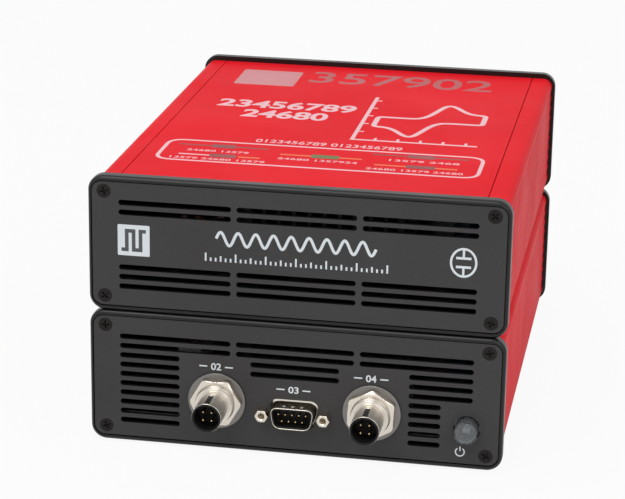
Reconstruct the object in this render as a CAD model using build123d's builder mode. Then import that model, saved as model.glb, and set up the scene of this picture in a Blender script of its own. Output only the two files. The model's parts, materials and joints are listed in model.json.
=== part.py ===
"""Bench potentiostat: two stacked instrument cases, millimetres.

The front faces -Y, +X is to the right seen from the front, +Z is up.
The origin is the middle of the footprint, at the height the rubber feet stand on.
The lower case carries the cell connectors and the power button, the upper one the second vented unit.
"""
import os
from math import radians, sqrt, tan

from build123d import *

# Case extrusion
case_width = 165.0
case_height = 51.5
case_length = 206.0
case_corner = 4.0
side_wall = 2.2
floor_wall = 1.8
flute_count = 9
flute_pitch = 4.75
flute_depth = 0.35

# Sliding lid, held by tongues that run in the case's shoulders
shoulder_width = 9.0
lid_thickness = 2.6
lid_seam = 0.4
lid_opening = case_width - 2 * shoulder_width
lid_width = lid_opening - 2 * lid_seam
shoulder_depth = 5.2
shoulder_lip = 1.8
tongue_thickness = 1.5
tongue_reach = 1.8
tongue_root = 4.0
tongue_clearance = 0.1

# Moulded bezels on both ends
bezel_side_lip = 1.5
bezel_roof_lip = 2.25
bezel_width = case_width + 2 * bezel_side_lip
bezel_height = case_height + 2 * bezel_roof_lip
bezel_depth = 5.0
bezel_corner = 6.3
bezel_edge = 1.8
window_side_inset = 2.5
window_roof_inset = 2.25
window_width = case_width - 2 * window_side_inset
window_height = case_height - 2 * window_roof_inset
window_corner = 2.0
screw_ear = 10.0

# End panels
panel_side_inset = 0.2
panel_roof_inset = 0.15
panel_width = case_width - 2 * panel_side_inset
panel_height = case_height - 2 * panel_roof_inset
panel_thickness = 2.0
panel_corner = 4.0
panel_gap = 0.4
panel_recess = 0.3

# Countersunk panel screws and their channels in the extrusion
screw_side_inset = 5.1
screw_roof_inset = 4.0
screw_spacing_x = case_width - 2 * screw_side_inset
screw_spacing_z = case_height - 2 * screw_roof_inset
screw_radius = 1.25
screw_head_radius = 2.9
screw_hole_radius = 1.6
screw_length = 16.0
channel_radius = 3.1
channel_bore = 1.3
cross_length = 3.2
cross_width = 0.65
cross_depth = 1.1

# Vent slots
vent_height = 2.25
vent_pitch = 4.0
vent_margin = 11.0
vent_edge = case_width / 2 - vent_margin
vent_split = 25.0
vent_rib = 2.2
upper_vent_margin = 8.35
upper_vent_top = case_height / 2 - upper_vent_margin
upper_vent_rows = (
    upper_vent_top,
    upper_vent_top - vent_pitch,
    2 * vent_pitch - upper_vent_top,
    vent_pitch - upper_vent_top,
    -upper_vent_top,
)
lower_vent_margin = 8.45
lower_vent_top = case_height / 2 - lower_vent_margin
lower_vent_rows = 10
lower_long_rows = 2
lower_left_gap = 15.4
lower_middle_edge = 18.0
lower_middle_rows = 2
lower_right_gap = 14.5
lower_right_long_rows = 3
lower_button_gap = 10.6

# Rubber feet
foot_radius = 7.0
foot_stand = 1.2
foot_edge = 1.0
foot_side_inset = 14.5
foot_end_inset = 19.0
foot_spacing_x = case_width - 2 * foot_side_inset
foot_spacing_y = case_length - 2 * foot_end_inset

# Ties between the two cases
tie_side_inset = 24.5
tie_end_inset = 28.0
tie_spacing_x = case_width - 2 * tie_side_inset
tie_spacing_y = case_length - 2 * tie_end_inset
tie_radius = 1.5
tie_clearance = 0.2
tie_head_radius = 3.0
tie_head_height = 1.8
tie_end = 1.5
spacer_radius = 4.5

# Circuit boards, in rails on the side walls
board_height = 8.75
board_top = board_height - case_height / 2
board_thickness = 1.6
board_clearance = 0.2
board_front_gap = 1.0
board_rear_gap = 1.0
rail_reach = 2.5
rail_thickness = 1.2
rail_clearance = 0.1

# Round four-pin cell connectors
cell_spacing = 63.0
cell_height = -7.0
cell_reach = 20.0
cell_barrel_radius = 6.0
cell_collar_radius = 7.6
cell_collar_reach = 7.0
cell_flange_radius = 9.0
cell_flange_depth = 3.0
cell_tail_radius = 7.0
cell_tail_depth = 10.0
cell_bore_radius = 5.6
cell_lining = 0.6
cell_cavity = 8.5
cell_pin_radius = 0.5
cell_pin_circle = 2.45
cell_pin_setback = 1.5
cell_pin_tail = 15.5
pin_tip = 0.2
cell_edge = 0.3
cell_key_width = 1.2
cell_hole_clearance = 0.1
washer_radius = 11.75
washer_thickness = 1.0
washer_edge = 0.2
nut_flats = 18.5
nut_thickness = 3.2
nut_chamfer = 0.6
cell_nut_turns = {"working": 30.0, "counter": 57.0}

# Upright board behind the cell connectors
riser_margin = 14.5
riser_width = cell_spacing + 2 * riser_margin
riser_height = 20.0
riser_thickness = 1.6
riser_depth = 14.0

# Nine-pin sense connector
sense_height = -10.6
sense_shell_width = 18.0
sense_shell_height = 9.0
sense_shell_reach = 5.6
sense_shell_wall = 0.5
sense_shell_corner = 2.8
sense_cut_width = 21.0
sense_cut_height = 12.4
sense_cut_corner = 3.2
sense_slant = 10.0
sense_flange_width = 30.8
sense_flange_height = 12.5
sense_flange_thickness = 0.8
sense_flange_corner = 1.0
sense_block_depth = 10.0
sense_floor = 0.6
sense_pin_radius = 0.5
sense_pin_pitch = 2.77
sense_row_gap = 2.84
sense_pin_setback = 1.0
sense_screw_spacing = 25.0
jack_flats = 4.75
jack_length = 5.0
jack_thread_radius = 1.15
jack_thread_depth = 4.5
jack_stud_radius = 1.4
jack_stud_length = 8.0
jack_hole_radius = 1.7
jack_chamfer = 0.3

# Lit power button
button_inset = 12.9
button_x = case_width / 2 - button_inset
button_height = -10.7
button_hole_radius = 5.4
button_radius = 4.7
button_wall = 0.8
button_reach = 5.6
button_edge = 0.6
button_travel = 2.0
button_collar_radius = 5.8
button_collar_thickness = 0.8
button_gap = 0.3
button_skirt = 8.0
switch_width = 12.6
switch_depth = 12.0
lamp_width = 3.2

# Fans behind the rear panels, seen from behind
fan_inset = 37.5
fan_x = fan_inset - case_width / 2
fan_size = 40.0
fan_depth = 10.0
fan_corner = 3.0
fan_bore_radius = 18.8
fan_screw_spacing = 32.0
fan_screw_hole = 1.6
fan_screw_length = 12.5
fan_base_thickness = 1.5
fan_strut_width = 2.2
fan_strut_count = 4
rotor_hub_radius = 9.5
rotor_tip_radius = 18.2
rotor_gap = 0.4
rotor_blade_count = 7
rotor_blade_thickness = 0.9
rotor_blade_pitch = 38.0
rotor_shaft_radius = 1.0
rotor_shaft_clearance = 0.05
fan_bay = 3.0

# Rear sockets of the lower case, seen from behind
rear_vent_gap = 7.0
rear_vent_inner = fan_x + fan_size / 2 + rear_vent_gap
usb_x = 15.0
usb_width = 12.0
usb_height = 11.0
usb_depth = 16.0
usb_mouth_width = 8.6
usb_mouth_height = 8.0
usb_mouth_depth = 9.0
usb_corner = 0.6
usb_tongue_setback = 1.0
usb_tongue_width = 5.6
usb_tongue_height = 3.2
usb_clearance = 0.3
inlet_inset = 34.5
inlet_x = case_width / 2 - inlet_inset
inlet_height = -8.0
inlet_thread_radius = 5.5
inlet_body_radius = 7.0
inlet_body_depth = 12.0
inlet_mouth_radius = 2.8
inlet_mouth_depth = 9.0
inlet_pin_radius = 1.25
inlet_pin_length = 8.0
inlet_nut_flats = 14.0
inlet_nut_thickness = 2.2
inlet_reach = 2.5

# Heatsinks and what stands on the boards
sink_width = 68.0
sink_length = 84.0
sink_height = 34.0
sink_base = 4.0
sink_fin = 1.6
sink_side_fin = 3.0
sink_fin_count = 9
transistor_width = 10.0
transistor_thickness = 4.4
transistor_height = 15.5
transistor_leg = 4.0
transistor_leg_width = 0.8
transistor_leg_pitch = 2.54
transistor_count = 4
transistor_pitch = 19.0
capacitor_radius = 6.25
capacitor_height = 21.0
capacitor_edge = 0.8
capacitor_count = 5
capacitor_pitch = 17.0
capacitor_inset = 22.5
capacitor_x = case_width / 2 - capacitor_inset
choke_radius = 8.0
choke_core = 3.6
choke_pitch = 26.0
choke_count = 3
relay_width = 10.0
relay_length = 20.0
relay_height = 9.5
relay_corner = 0.6
relay_count = 4
relay_pitch = 23.0
left_row_gap = 22.0
left_row_x = -sink_width / 2 - left_row_gap
left_row_setback = -6.0
chip_height = 1.6
chip_large = 14.0
chip_small = 6.0
chip_setback = 28.0
chip_pitch = 22.0
chip_count = 5

# Ribbon that joins the two boards
link_inset = 26.5
link_end_inset = 45.0
link_x = link_inset - case_width / 2
link_setback = case_length / 2 - link_end_inset
link_width = 25.4
link_thickness = 1.0
link_header_width = 30.0
link_header_depth = 9.0
link_header_height = 9.0
link_slot_width = 30.0
link_slot_height = 5.0
link_board_slot = 2.4

# Places that follow from the sizes above
panel_seat = panel_recess + panel_thickness
seat_width = panel_width + 2 * panel_gap
seat_height = panel_height + 2 * panel_gap
case_total = case_length + 2 * bezel_depth
front_reach = cell_reach - panel_recess
rear_reach = inlet_reach - panel_recess
front_y = -(case_total + rear_reach - front_reach) / 2
rear_y = front_y + case_total
case_front = front_y + bezel_depth
case_middle = front_y + case_total / 2
sink_y = case_middle
left_row_y = case_middle + left_row_setback
link_y = case_middle + link_setback
chip_row_y = case_front + chip_setback
lower_level = foot_stand + bezel_height / 2
upper_level = lower_level + bezel_height
levels = {"lower": lower_level, "upper": upper_level}
inner_width = case_width - 2 * side_wall
flute_radius = (flute_pitch**2 / 4 + flute_depth**2) / (2 * flute_depth)
groove_top = case_height / 2 - shoulder_lip
tongue_top = groove_top - tongue_clearance
tongue_bottom = tongue_top - tongue_thickness
board_bottom = board_top - board_thickness
upper_rail_z = board_top + rail_clearance + rail_thickness / 2
screw_head_depth = screw_head_radius - screw_radius
fan_bay_depth = fan_depth + fan_bay

# A solid that starts at its plane and grows out of it, or into it
outwards = (Align.CENTER, Align.CENTER, Align.MIN)
inwards = (Align.CENTER, Align.CENTER, Align.MAX)

os.makedirs("parts", exist_ok=True)


def keep(piece, label):
    """Label a finished piece and write it as one STEP file."""
    piece.part.label = label
    export_step(piece.part, f"parts/{label}.step")


def end_plane(end, depth, level):
    """Plane that faces out of one end of a case, so many mm inside its bezel's face."""
    facing = -1 if end == "front" else 1
    y = front_y + depth if end == "front" else rear_y - depth
    return Plane(origin=(0, y, level), x_dir=(-facing, 0, 0), z_dir=(0, facing, 0))


def spot(end, depth, level, x, z):
    """The same plane, with its origin moved to a place on the panel."""
    plane = end_plane(end, depth, level)
    return Plane(origin=plane.from_local_coords((x, z, 0)), x_dir=plane.x_dir, z_dir=plane.z_dir)


def make_case_body(level, tied_below):
    """Extruded trough with fluted sides, screw channels, board rails and grooves for its lid."""
    cavity_height = case_height - floor_wall - shoulder_depth
    with BuildPart() as body:
        with BuildSketch(end_plane("front", bezel_depth, level)):
            RectangleRounded(case_width, case_height, case_corner)
            with GridLocations(case_width + 2 * (flute_radius - flute_depth), flute_pitch, 2, flute_count):
                Circle(flute_radius, mode=Mode.SUBTRACT)
            with Locations((0, (floor_wall - shoulder_depth) / 2)):
                Rectangle(inner_width, cavity_height, mode=Mode.SUBTRACT)
            with GridLocations(screw_spacing_x, screw_spacing_z, 2, 2):
                Circle(channel_radius)
            for rail_z in (board_bottom - rail_thickness / 2, upper_rail_z):
                with Locations((0, rail_z)):
                    with GridLocations(inner_width - rail_reach, 0, 2, 1):
                        Rectangle(rail_reach, rail_thickness)
            with Locations((0, case_height / 2)):
                Rectangle(lid_opening, 2 * shoulder_depth, mode=Mode.SUBTRACT)
            with Locations((0, (groove_top + tongue_bottom) / 2)):
                Rectangle(
                    lid_width + 2 * (tongue_reach + tongue_clearance),
                    groove_top - tongue_bottom,
                    mode=Mode.SUBTRACT,
                )
            with GridLocations(screw_spacing_x, screw_spacing_z, 2, 2):
                Circle(channel_bore, mode=Mode.SUBTRACT)
        extrude(amount=-case_length)
        if tied_below:
            with BuildSketch(Plane.XY.offset(level - case_height / 2)):
                with Locations((0, case_middle)):
                    with GridLocations(tie_spacing_x, tie_spacing_y, 2, 2):
                        Circle(tie_radius + tie_clearance)
                with Locations((link_x, link_y)):
                    SlotOverall(link_slot_width, link_slot_height)
            extrude(amount=floor_wall, mode=Mode.SUBTRACT)
    return body


def make_lid(level, tied_above):
    """Flat plate between the case's shoulders, with a tongue along each side."""
    with BuildPart() as lid:
        with BuildSketch(end_plane("front", bezel_depth, level)):
            with Locations((0, case_height / 2 - lid_thickness / 2)):
                Rectangle(lid_width, lid_thickness)
            with Locations((0, (tongue_top + tongue_bottom) / 2)):
                with GridLocations(lid_width + tongue_reach - tongue_root, 0, 2, 1):
                    Rectangle(tongue_root + tongue_reach, tongue_thickness)
        extrude(amount=-case_length)
        if tied_above:
            with BuildSketch(Plane.XY.offset(level + case_height / 2)):
                with Locations((0, case_middle)):
                    with GridLocations(tie_spacing_x, tie_spacing_y, 2, 2):
                        Circle(tie_radius + tie_clearance)
                with Locations((link_x, link_y)):
                    SlotOverall(link_slot_width, link_slot_height)
            extrude(amount=-lid_thickness, mode=Mode.SUBTRACT)
    return lid


def make_bezel(end, level):
    """Frame over the case's end: a seat for the panel outside and a window with screw ears behind it."""
    with BuildPart() as bezel:
        with BuildSketch(end_plane(end, bezel_depth, level)):
            RectangleRounded(bezel_width, bezel_height, bezel_corner)
        extrude(amount=bezel_depth)
        fillet(bezel.faces().sort_by(Axis.Y)[0 if end == "front" else -1].edges(), bezel_edge)
        with BuildSketch(end_plane(end, 0, level)):
            RectangleRounded(seat_width, seat_height, panel_corner + panel_gap)
        extrude(amount=-panel_seat, mode=Mode.SUBTRACT)
        with BuildSketch(end_plane(end, panel_seat, level)):
            RectangleRounded(window_width, window_height, window_corner)
            with GridLocations(screw_spacing_x, screw_spacing_z, 2, 2):
                Rectangle(screw_ear, screw_ear, mode=Mode.SUBTRACT)
        extrude(amount=panel_seat - bezel_depth, mode=Mode.SUBTRACT)
        with Locations(end_plane(end, panel_seat, level)):
            with GridLocations(screw_spacing_x, screw_spacing_z, 2, 2):
                Hole(screw_hole_radius, depth=bezel_depth)
    return bezel


def make_panel(end, level, vents, cutters=()):
    """End plate with countersunk corner holes, vent slots given as (left, right, z), and cut-outs."""
    with BuildPart() as panel:
        with BuildSketch(end_plane(end, panel_seat, level)):
            RectangleRounded(panel_width, panel_height, panel_corner)
            for left, right, z in vents:
                with Locations(((left + right) / 2, z)):
                    SlotOverall(right - left, vent_height, mode=Mode.SUBTRACT)
        extrude(amount=panel_thickness)
        with Locations(end_plane(end, panel_recess, level)):
            with GridLocations(screw_spacing_x, screw_spacing_z, 2, 2):
                CounterSinkHole(screw_hole_radius, screw_head_radius, counter_sink_angle=90)
        for cutter in cutters:
            add(cutter, mode=Mode.SUBTRACT)
    return panel


def make_screws(places, turns, length):
    """Countersunk cross-recess screws, flush with the planes they are placed on."""
    with BuildPart() as screws:
        for place, turn in zip(places, turns):
            with Locations(place):
                Cone(screw_radius, screw_head_radius, screw_head_depth, align=inwards)
                Cylinder(screw_radius, length, align=inwards)
            for quarter in (0, 90):
                with Locations(place * Location((0, 0, 0), (0, 0, turn + quarter))):
                    Box(cross_length, cross_width, 2 * cross_depth, mode=Mode.SUBTRACT)
    return screws


def corner_places(end, level):
    """Where the four panel screws of one end stand."""
    grid = GridLocations(screw_spacing_x, screw_spacing_z, 2, 2)
    return [end_plane(end, panel_recess, level).location * place for place in grid]


def fan_places(level):
    """Where the four screws of a rear fan stand."""
    grid = GridLocations(fan_screw_spacing, fan_screw_spacing, 2, 2)
    return [spot("rear", panel_recess, level, fan_x, 0).location * place for place in grid]


def vent_columns():
    """Left and right ends of the three long vent columns."""
    inner = vent_split - vent_rib / 2
    outer = vent_split + vent_rib / 2
    return [(-vent_edge, -outer), (-inner, inner), (outer, vent_edge)]


def upper_front_vents():
    """Two rows of long slots over the name field and three under it."""
    return [(left, right, z) for z in upper_vent_rows for left, right in vent_columns()]


def lower_front_vents():
    """Long slots over the connectors, shorter ones beside them."""
    vents = []
    for row in range(lower_vent_rows):
        z = lower_vent_top - row * vent_pitch
        if row < lower_long_rows:
            vents += [(left, right, z) for left, right in vent_columns()]
            continue
        vents.append((-vent_edge, -cell_spacing / 2 - lower_left_gap, z))
        if row < lower_long_rows + lower_middle_rows:
            vents.append((-lower_middle_edge, lower_middle_edge, z))
        long_right = row < lower_long_rows + lower_right_long_rows
        right_end = vent_edge if long_right else button_x - lower_button_gap
        vents.append((cell_spacing / 2 + lower_right_gap, right_end, z))
    return vents


def fan_grille():
    """Slots that fill the fan's circle, split by a middle rib."""
    rows = int((fan_bore_radius - vent_height) // vent_pitch)
    vents = []
    for row in range(-rows, rows + 1):
        reach = sqrt((fan_bore_radius - vent_height / 2) ** 2 - (row * vent_pitch) ** 2)
        vents.append((fan_x - reach, fan_x - vent_rib / 2, row * vent_pitch))
        vents.append((fan_x + vent_rib / 2, fan_x + reach, row * vent_pitch))
    return vents


def rear_vents(rows):
    """Slots beside the fan."""
    middle, right = vent_columns()[1:]
    columns = ((rear_vent_inner, middle[1]), right)
    return fan_grille() + [(near, far, z) for z in rows for near, far in columns]


def fan_screw_holes(level):
    """Countersunk cutter for the four fan screws in a rear panel."""
    with BuildPart() as holes:
        with Locations(fan_places(level)):
            Cone(screw_radius, screw_head_radius, screw_head_depth, align=inwards)
            Cylinder(fan_screw_hole, panel_thickness, align=inwards)
    return holes.part


def sense_outline(width, height, corner):
    """D-shaped outline: a trapezium that narrows downwards, with round corners."""
    lean = height * tan(radians(sense_slant))
    points = [
        (-width / 2, height / 2),
        (width / 2, height / 2),
        (width / 2 - lean, -height / 2),
        (lean - width / 2, -height / 2),
    ]
    with BuildSketch(Plane.XY, mode=Mode.PRIVATE) as outline:
        with BuildLine():
            Polyline(points, close=True)
        make_face()
        fillet(outline.vertices(), corner)
    return outline.sketch


def lower_front_cutouts():
    """Holes for the cell connectors, the sense connector with its screws, and the power button."""
    with BuildPart() as cutter:
        with BuildSketch(end_plane("front", panel_seat, lower_level)):
            with Locations((0, cell_height)):
                with GridLocations(cell_spacing, 0, 2, 1):
                    Circle(cell_collar_radius + cell_hole_clearance)
            with Locations((0, sense_height)):
                add(sense_outline(sense_cut_width, sense_cut_height, sense_cut_corner))
                with GridLocations(sense_screw_spacing, 0, 2, 1):
                    Circle(jack_hole_radius)
            with Locations((button_x, button_height)):
                Circle(button_hole_radius)
        extrude(amount=panel_thickness)
    return cutter.part


def lower_rear_cutouts():
    """Holes for the data socket and the power inlet."""
    with BuildPart() as cutter:
        with BuildSketch(end_plane("rear", panel_seat, lower_level)):
            with Locations((usb_x, board_top + usb_height / 2)):
                Rectangle(usb_width + 2 * usb_clearance, usb_height + 2 * usb_clearance)
            with Locations((inlet_x, inlet_height)):
                Circle(inlet_thread_radius)
        extrude(amount=panel_thickness)
    return cutter.part


def make_board(level, slotted):
    """Circuit board that lies in the rails, cut away around the fan."""
    board_width = inner_width - 2 * board_clearance
    board_length = case_length - board_front_gap - board_rear_gap
    with BuildPart() as board:
        with BuildSketch(Plane.XY.offset(level + board_bottom)):
            with Locations((0, case_front + board_front_gap + board_length / 2)):
                Rectangle(board_width, board_length)
            with Locations((-fan_x, case_front + case_length - fan_bay_depth / 2)):
                Rectangle(fan_size + 2 * fan_bay, fan_bay_depth, mode=Mode.SUBTRACT)
            if slotted:
                with Locations((link_x, link_y)):
                    Rectangle(link_width + 2 * board_clearance, link_board_slot, mode=Mode.SUBTRACT)
        extrude(amount=board_thickness)
    return board


def make_fan_frame(level):
    """Square fan housing with a round throat, and a motor seat on struts at its inner side."""
    with BuildPart() as frame:
        with BuildSketch(spot("rear", panel_seat, level, fan_x, 0)):
            RectangleRounded(fan_size, fan_size, fan_corner)
            Circle(fan_bore_radius, mode=Mode.SUBTRACT)
        extrude(amount=-fan_depth)
        with BuildSketch(spot("rear", panel_seat + fan_depth, level, fan_x, 0)):
            Circle(rotor_hub_radius)
            with PolarLocations(0, fan_strut_count, start_angle=45):
                Rectangle(fan_bore_radius + 1, fan_strut_width, align=(Align.MIN, Align.CENTER))
            Circle(rotor_shaft_radius + rotor_shaft_clearance, mode=Mode.SUBTRACT)
        extrude(amount=fan_base_thickness)
        with BuildSketch(spot("rear", panel_seat, level, fan_x, 0)):
            with GridLocations(fan_screw_spacing, fan_screw_spacing, 2, 2):
                Circle(fan_screw_hole)
        extrude(amount=-fan_depth, mode=Mode.SUBTRACT)
    return frame


def make_fan_rotor(level):
    """Hub with pitched blades, on a shaft that runs in the frame's motor seat."""
    hub_depth = fan_depth - fan_base_thickness - 2 * rotor_gap
    with BuildPart() as sweep:
        with BuildSketch(spot("rear", panel_seat + rotor_gap, level, fan_x, 0)):
            Circle(rotor_tip_radius)
            Circle(rotor_hub_radius, mode=Mode.SUBTRACT)
        extrude(amount=-hub_depth)
    with BuildPart() as rotor:
        with Locations(spot("rear", panel_seat + rotor_gap + hub_depth / 2, level, fan_x, 0)):
            with PolarLocations((rotor_hub_radius + rotor_tip_radius) / 2, rotor_blade_count):
                Box(
                    rotor_tip_radius,
                    rotor_blade_thickness,
                    3 * hub_depth,
                    rotation=(rotor_blade_pitch, 0, 0),
                )
        add(sweep.part, mode=Mode.INTERSECT)
        with BuildSketch(spot("rear", panel_seat + rotor_gap, level, fan_x, 0)):
            Circle(rotor_hub_radius)
        extrude(amount=-hub_depth)
        with BuildSketch(spot("rear", panel_seat + fan_depth - rotor_gap, level, fan_x, 0)):
            Circle(rotor_shaft_radius)
        extrude(amount=fan_depth / 2)
    return rotor


def make_heatsink(level):
    """Finned block on the board, its channels along the air's way."""
    sink_front = Plane(origin=(0, sink_y - sink_length / 2, level), x_dir=(1, 0, 0), z_dir=(0, -1, 0))
    fin_pitch = (sink_width - sink_side_fin) / (sink_fin_count + 1)
    with BuildPart() as sink:
        with BuildSketch(sink_front):
            with Locations((0, board_top)):
                Rectangle(sink_width, sink_base, align=(Align.CENTER, Align.MIN))
                with GridLocations(sink_width - sink_side_fin, 0, 2, 1):
                    Rectangle(sink_side_fin, sink_height, align=(Align.CENTER, Align.MIN))
                with GridLocations(fin_pitch, 0, sink_fin_count, 1):
                    Rectangle(sink_fin, sink_height, align=(Align.CENTER, Align.MIN))
        extrude(amount=-sink_length)
    return sink


def make_transistors(level):
    """Power transistors against both flanks of the heatsink, each on three legs."""
    with BuildPart() as transistors:
        for side in (-1, 1):
            x = side * (sink_width + transistor_thickness) / 2
            with Locations((x, sink_y, level + board_top)):
                with GridLocations(0, transistor_pitch, 1, transistor_count):
                    with Locations((0, 0, transistor_leg)):
                        Box(
                            transistor_thickness,
                            transistor_width,
                            transistor_height,
                            align=outwards,
                        )
                    with GridLocations(0, transistor_leg_pitch, 1, 3):
                        Box(
                            transistor_leg_width,
                            transistor_leg_width,
                            transistor_leg,
                            align=outwards,
                        )
    return transistors


def make_capacitors(level):
    """Row of electrolytic capacitors beside the heatsink."""
    with BuildPart() as capacitors:
        with Locations((capacitor_x, sink_y, level + board_top)):
            with GridLocations(0, capacitor_pitch, 1, capacitor_count):
                Cylinder(capacitor_radius, capacitor_height, align=outwards)
        fillet(capacitors.faces().sort_by(Axis.Z)[-capacitor_count:].edges(), capacitor_edge)
    return capacitors


def make_chokes(level):
    """Ring chokes that lie on the upper board."""
    with BuildPart() as chokes:
        with Locations((left_row_x, left_row_y, level + board_top + choke_core)):
            with GridLocations(0, choke_pitch, 1, choke_count):
                Torus(choke_radius, choke_core)
    return chokes


def make_relays(level):
    """Sealed relays that switch the cell, on the lower board."""
    with BuildPart() as relays:
        with Locations((left_row_x, left_row_y, level + board_top)):
            with GridLocations(0, relay_pitch, 1, relay_count):
                Box(relay_width, relay_length, relay_height, align=outwards)
        fillet(relays.edges().filter_by(Axis.Z), relay_corner)
    return relays


def make_chips(level):
    """Row of flat chips across the front of a board, large and small by turns."""
    with BuildPart() as chips:
        for number in range(chip_count):
            side = chip_large if number % 2 == 0 else chip_small
            x = (number - (chip_count - 1) / 2) * chip_pitch
            with Locations((x, chip_row_y, level + board_top)):
                Box(side, side, chip_height, align=outwards)
    return chips


for place_name, level in levels.items():
    keep(make_case_body(level, tied_below=place_name == "upper"), f"{place_name}_case_body")
    keep(make_lid(level, tied_above=place_name == "lower"), f"{place_name}_lid")
    for end in ("front", "rear"):
        keep(make_bezel(end, level), f"{place_name}_{end}_bezel")
    keep(make_board(level, slotted=place_name == "upper"), f"{place_name}_circuit_board")
    keep(make_heatsink(level), f"{place_name}_heatsink")
    keep(make_transistors(level), f"{place_name}_power_transistors")
    keep(make_capacitors(level), f"{place_name}_capacitors")
    keep(make_chips(level), f"{place_name}_chips")
    keep(make_fan_frame(level), f"{place_name}_fan_frame")
    keep(make_fan_rotor(level), f"{place_name}_fan_rotor")

keep(make_chokes(upper_level), "upper_chokes")
keep(make_relays(lower_level), "lower_relays")

# Panels
keep(make_panel("front", upper_level, upper_front_vents()), "upper_front_panel")
keep(make_panel("front", lower_level, lower_front_vents(), [lower_front_cutouts()]), "lower_front_panel")
keep(
    make_panel("rear", upper_level, rear_vents(upper_vent_rows), [fan_screw_holes(upper_level)]),
    "upper_rear_panel",
)
keep(
    make_panel(
        "rear",
        lower_level,
        rear_vents(upper_vent_rows[:2]),
        [fan_screw_holes(lower_level), lower_rear_cutouts()],
    ),
    "lower_rear_panel",
)

# Screws, each turned as it was left
screw_turns = {
    "upper_front": (40, 12, 75, 48),
    "lower_front": (22, 5, 60, 8),
    "upper_rear": (15, 70, 33, 52),
    "lower_rear": (64, 28, 81, 3),
}
for name, turns in screw_turns.items():
    place_name, end = name.split("_")
    keep(make_screws(corner_places(end, levels[place_name]), turns, screw_length), f"{name}_screws")
fan_turns = (10, 55, 31, 77, 20, 66, 42, 5)
all_fan_places = fan_places(lower_level) + fan_places(upper_level)
keep(make_screws(all_fan_places, fan_turns, fan_screw_length), "fan_screws")

# Cell connectors: shell, nut, washer, lining with its key, and pins, each turned about its own axis
for side, cell_name in ((-1, "working"), (1, "counter")):
    cell_x = side * cell_spacing / 2
    face = spot("front", panel_recess, lower_level, cell_x, cell_height)

    with BuildPart() as cell_shell:
        with Locations(face):
            with Locations((0, 0, -panel_thickness)):
                Cylinder(cell_flange_radius, cell_flange_depth, align=inwards)
                Cylinder(cell_tail_radius, cell_tail_depth, align=inwards)
                Cylinder(cell_collar_radius, panel_thickness + cell_collar_reach, align=outwards)
            Cylinder(cell_barrel_radius, cell_reach, align=outwards)
        rims = cell_shell.edges().filter_by(GeomType.CIRCLE).sort_by(Axis.Y)
        chamfer(rims[0], cell_edge)
        with Locations(face.offset(cell_reach)):
            Hole(cell_bore_radius, depth=cell_reach + panel_thickness + cell_tail_depth)
    keep(cell_shell, f"{cell_name}_connector_shell")

    with BuildPart() as cell_lining_cup:
        with Locations(face.offset(-panel_thickness - cell_tail_depth)):
            Cylinder(
                cell_bore_radius,
                cell_reach + panel_thickness + cell_tail_depth - cell_edge,
                align=outwards,
            )
        with Locations(face.offset(cell_reach - cell_edge)):
            Hole(cell_bore_radius - cell_lining, depth=cell_cavity)
            with PolarLocations(cell_pin_circle, 4, start_angle=45):
                Hole(cell_pin_radius, depth=cell_reach + panel_thickness + cell_tail_depth)
        with BuildSketch(face.offset(cell_reach - cell_edge - cell_cavity)):
            with Locations((0, cell_bore_radius - cell_lining)):
                Rectangle(cell_key_width, cell_key_width)
            Circle(cell_bore_radius - cell_lining / 2, mode=Mode.INTERSECT)
        extrude(amount=cell_cavity - cell_pin_setback)
    keep(cell_lining_cup, f"{cell_name}_connector_insert")

    with BuildPart() as cell_pins:
        with Locations(face.offset(-cell_pin_tail)):
            with PolarLocations(cell_pin_circle, 4, start_angle=45):
                Cylinder(
                    cell_pin_radius,
                    cell_pin_tail + cell_reach - cell_edge - cell_pin_setback,
                    align=outwards,
                )
        chamfer(cell_pins.edges().filter_by(GeomType.CIRCLE).group_by(Axis.Y)[0], pin_tip)
    keep(cell_pins, f"{cell_name}_connector_pins")

    with BuildPart() as cell_washer:
        with BuildSketch(face):
            Circle(washer_radius)
            Circle(cell_collar_radius, mode=Mode.SUBTRACT)
        extrude(amount=washer_thickness)
        chamfer(cell_washer.edges().filter_by(GeomType.CIRCLE).group_by(Axis.Y)[0], washer_edge)
    keep(cell_washer, f"{cell_name}_connector_washer")

    with BuildPart() as cell_nut:
        with BuildSketch(face.offset(washer_thickness)):
            RegularPolygon(nut_flats / 2, 6, major_radius=False, rotation=30 + cell_nut_turns[cell_name])
        extrude(amount=nut_thickness)
        with BuildSketch(face.offset(washer_thickness)):
            Circle(nut_flats / sqrt(3) - nut_chamfer / 2)
        extrude(amount=nut_thickness, mode=Mode.INTERSECT)
        with Locations(face.offset(washer_thickness + nut_thickness)):
            Hole(cell_collar_radius, depth=nut_thickness)
    keep(cell_nut, f"{cell_name}_connector_nut")

with BuildPart() as riser_board:
    with BuildSketch(spot("front", panel_recess + riser_depth, lower_level, 0, board_top)):
        Rectangle(riser_width, riser_height, align=(Align.CENTER, Align.MIN))
        with Locations((0, cell_height - board_top)):
            with GridLocations(cell_spacing, 0, 2, 1):
                with PolarLocations(cell_pin_circle, 4, start_angle=45):
                    Circle(cell_pin_radius, mode=Mode.SUBTRACT)
    extrude(amount=-riser_thickness)
keep(riser_board, "connector_board")

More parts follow.
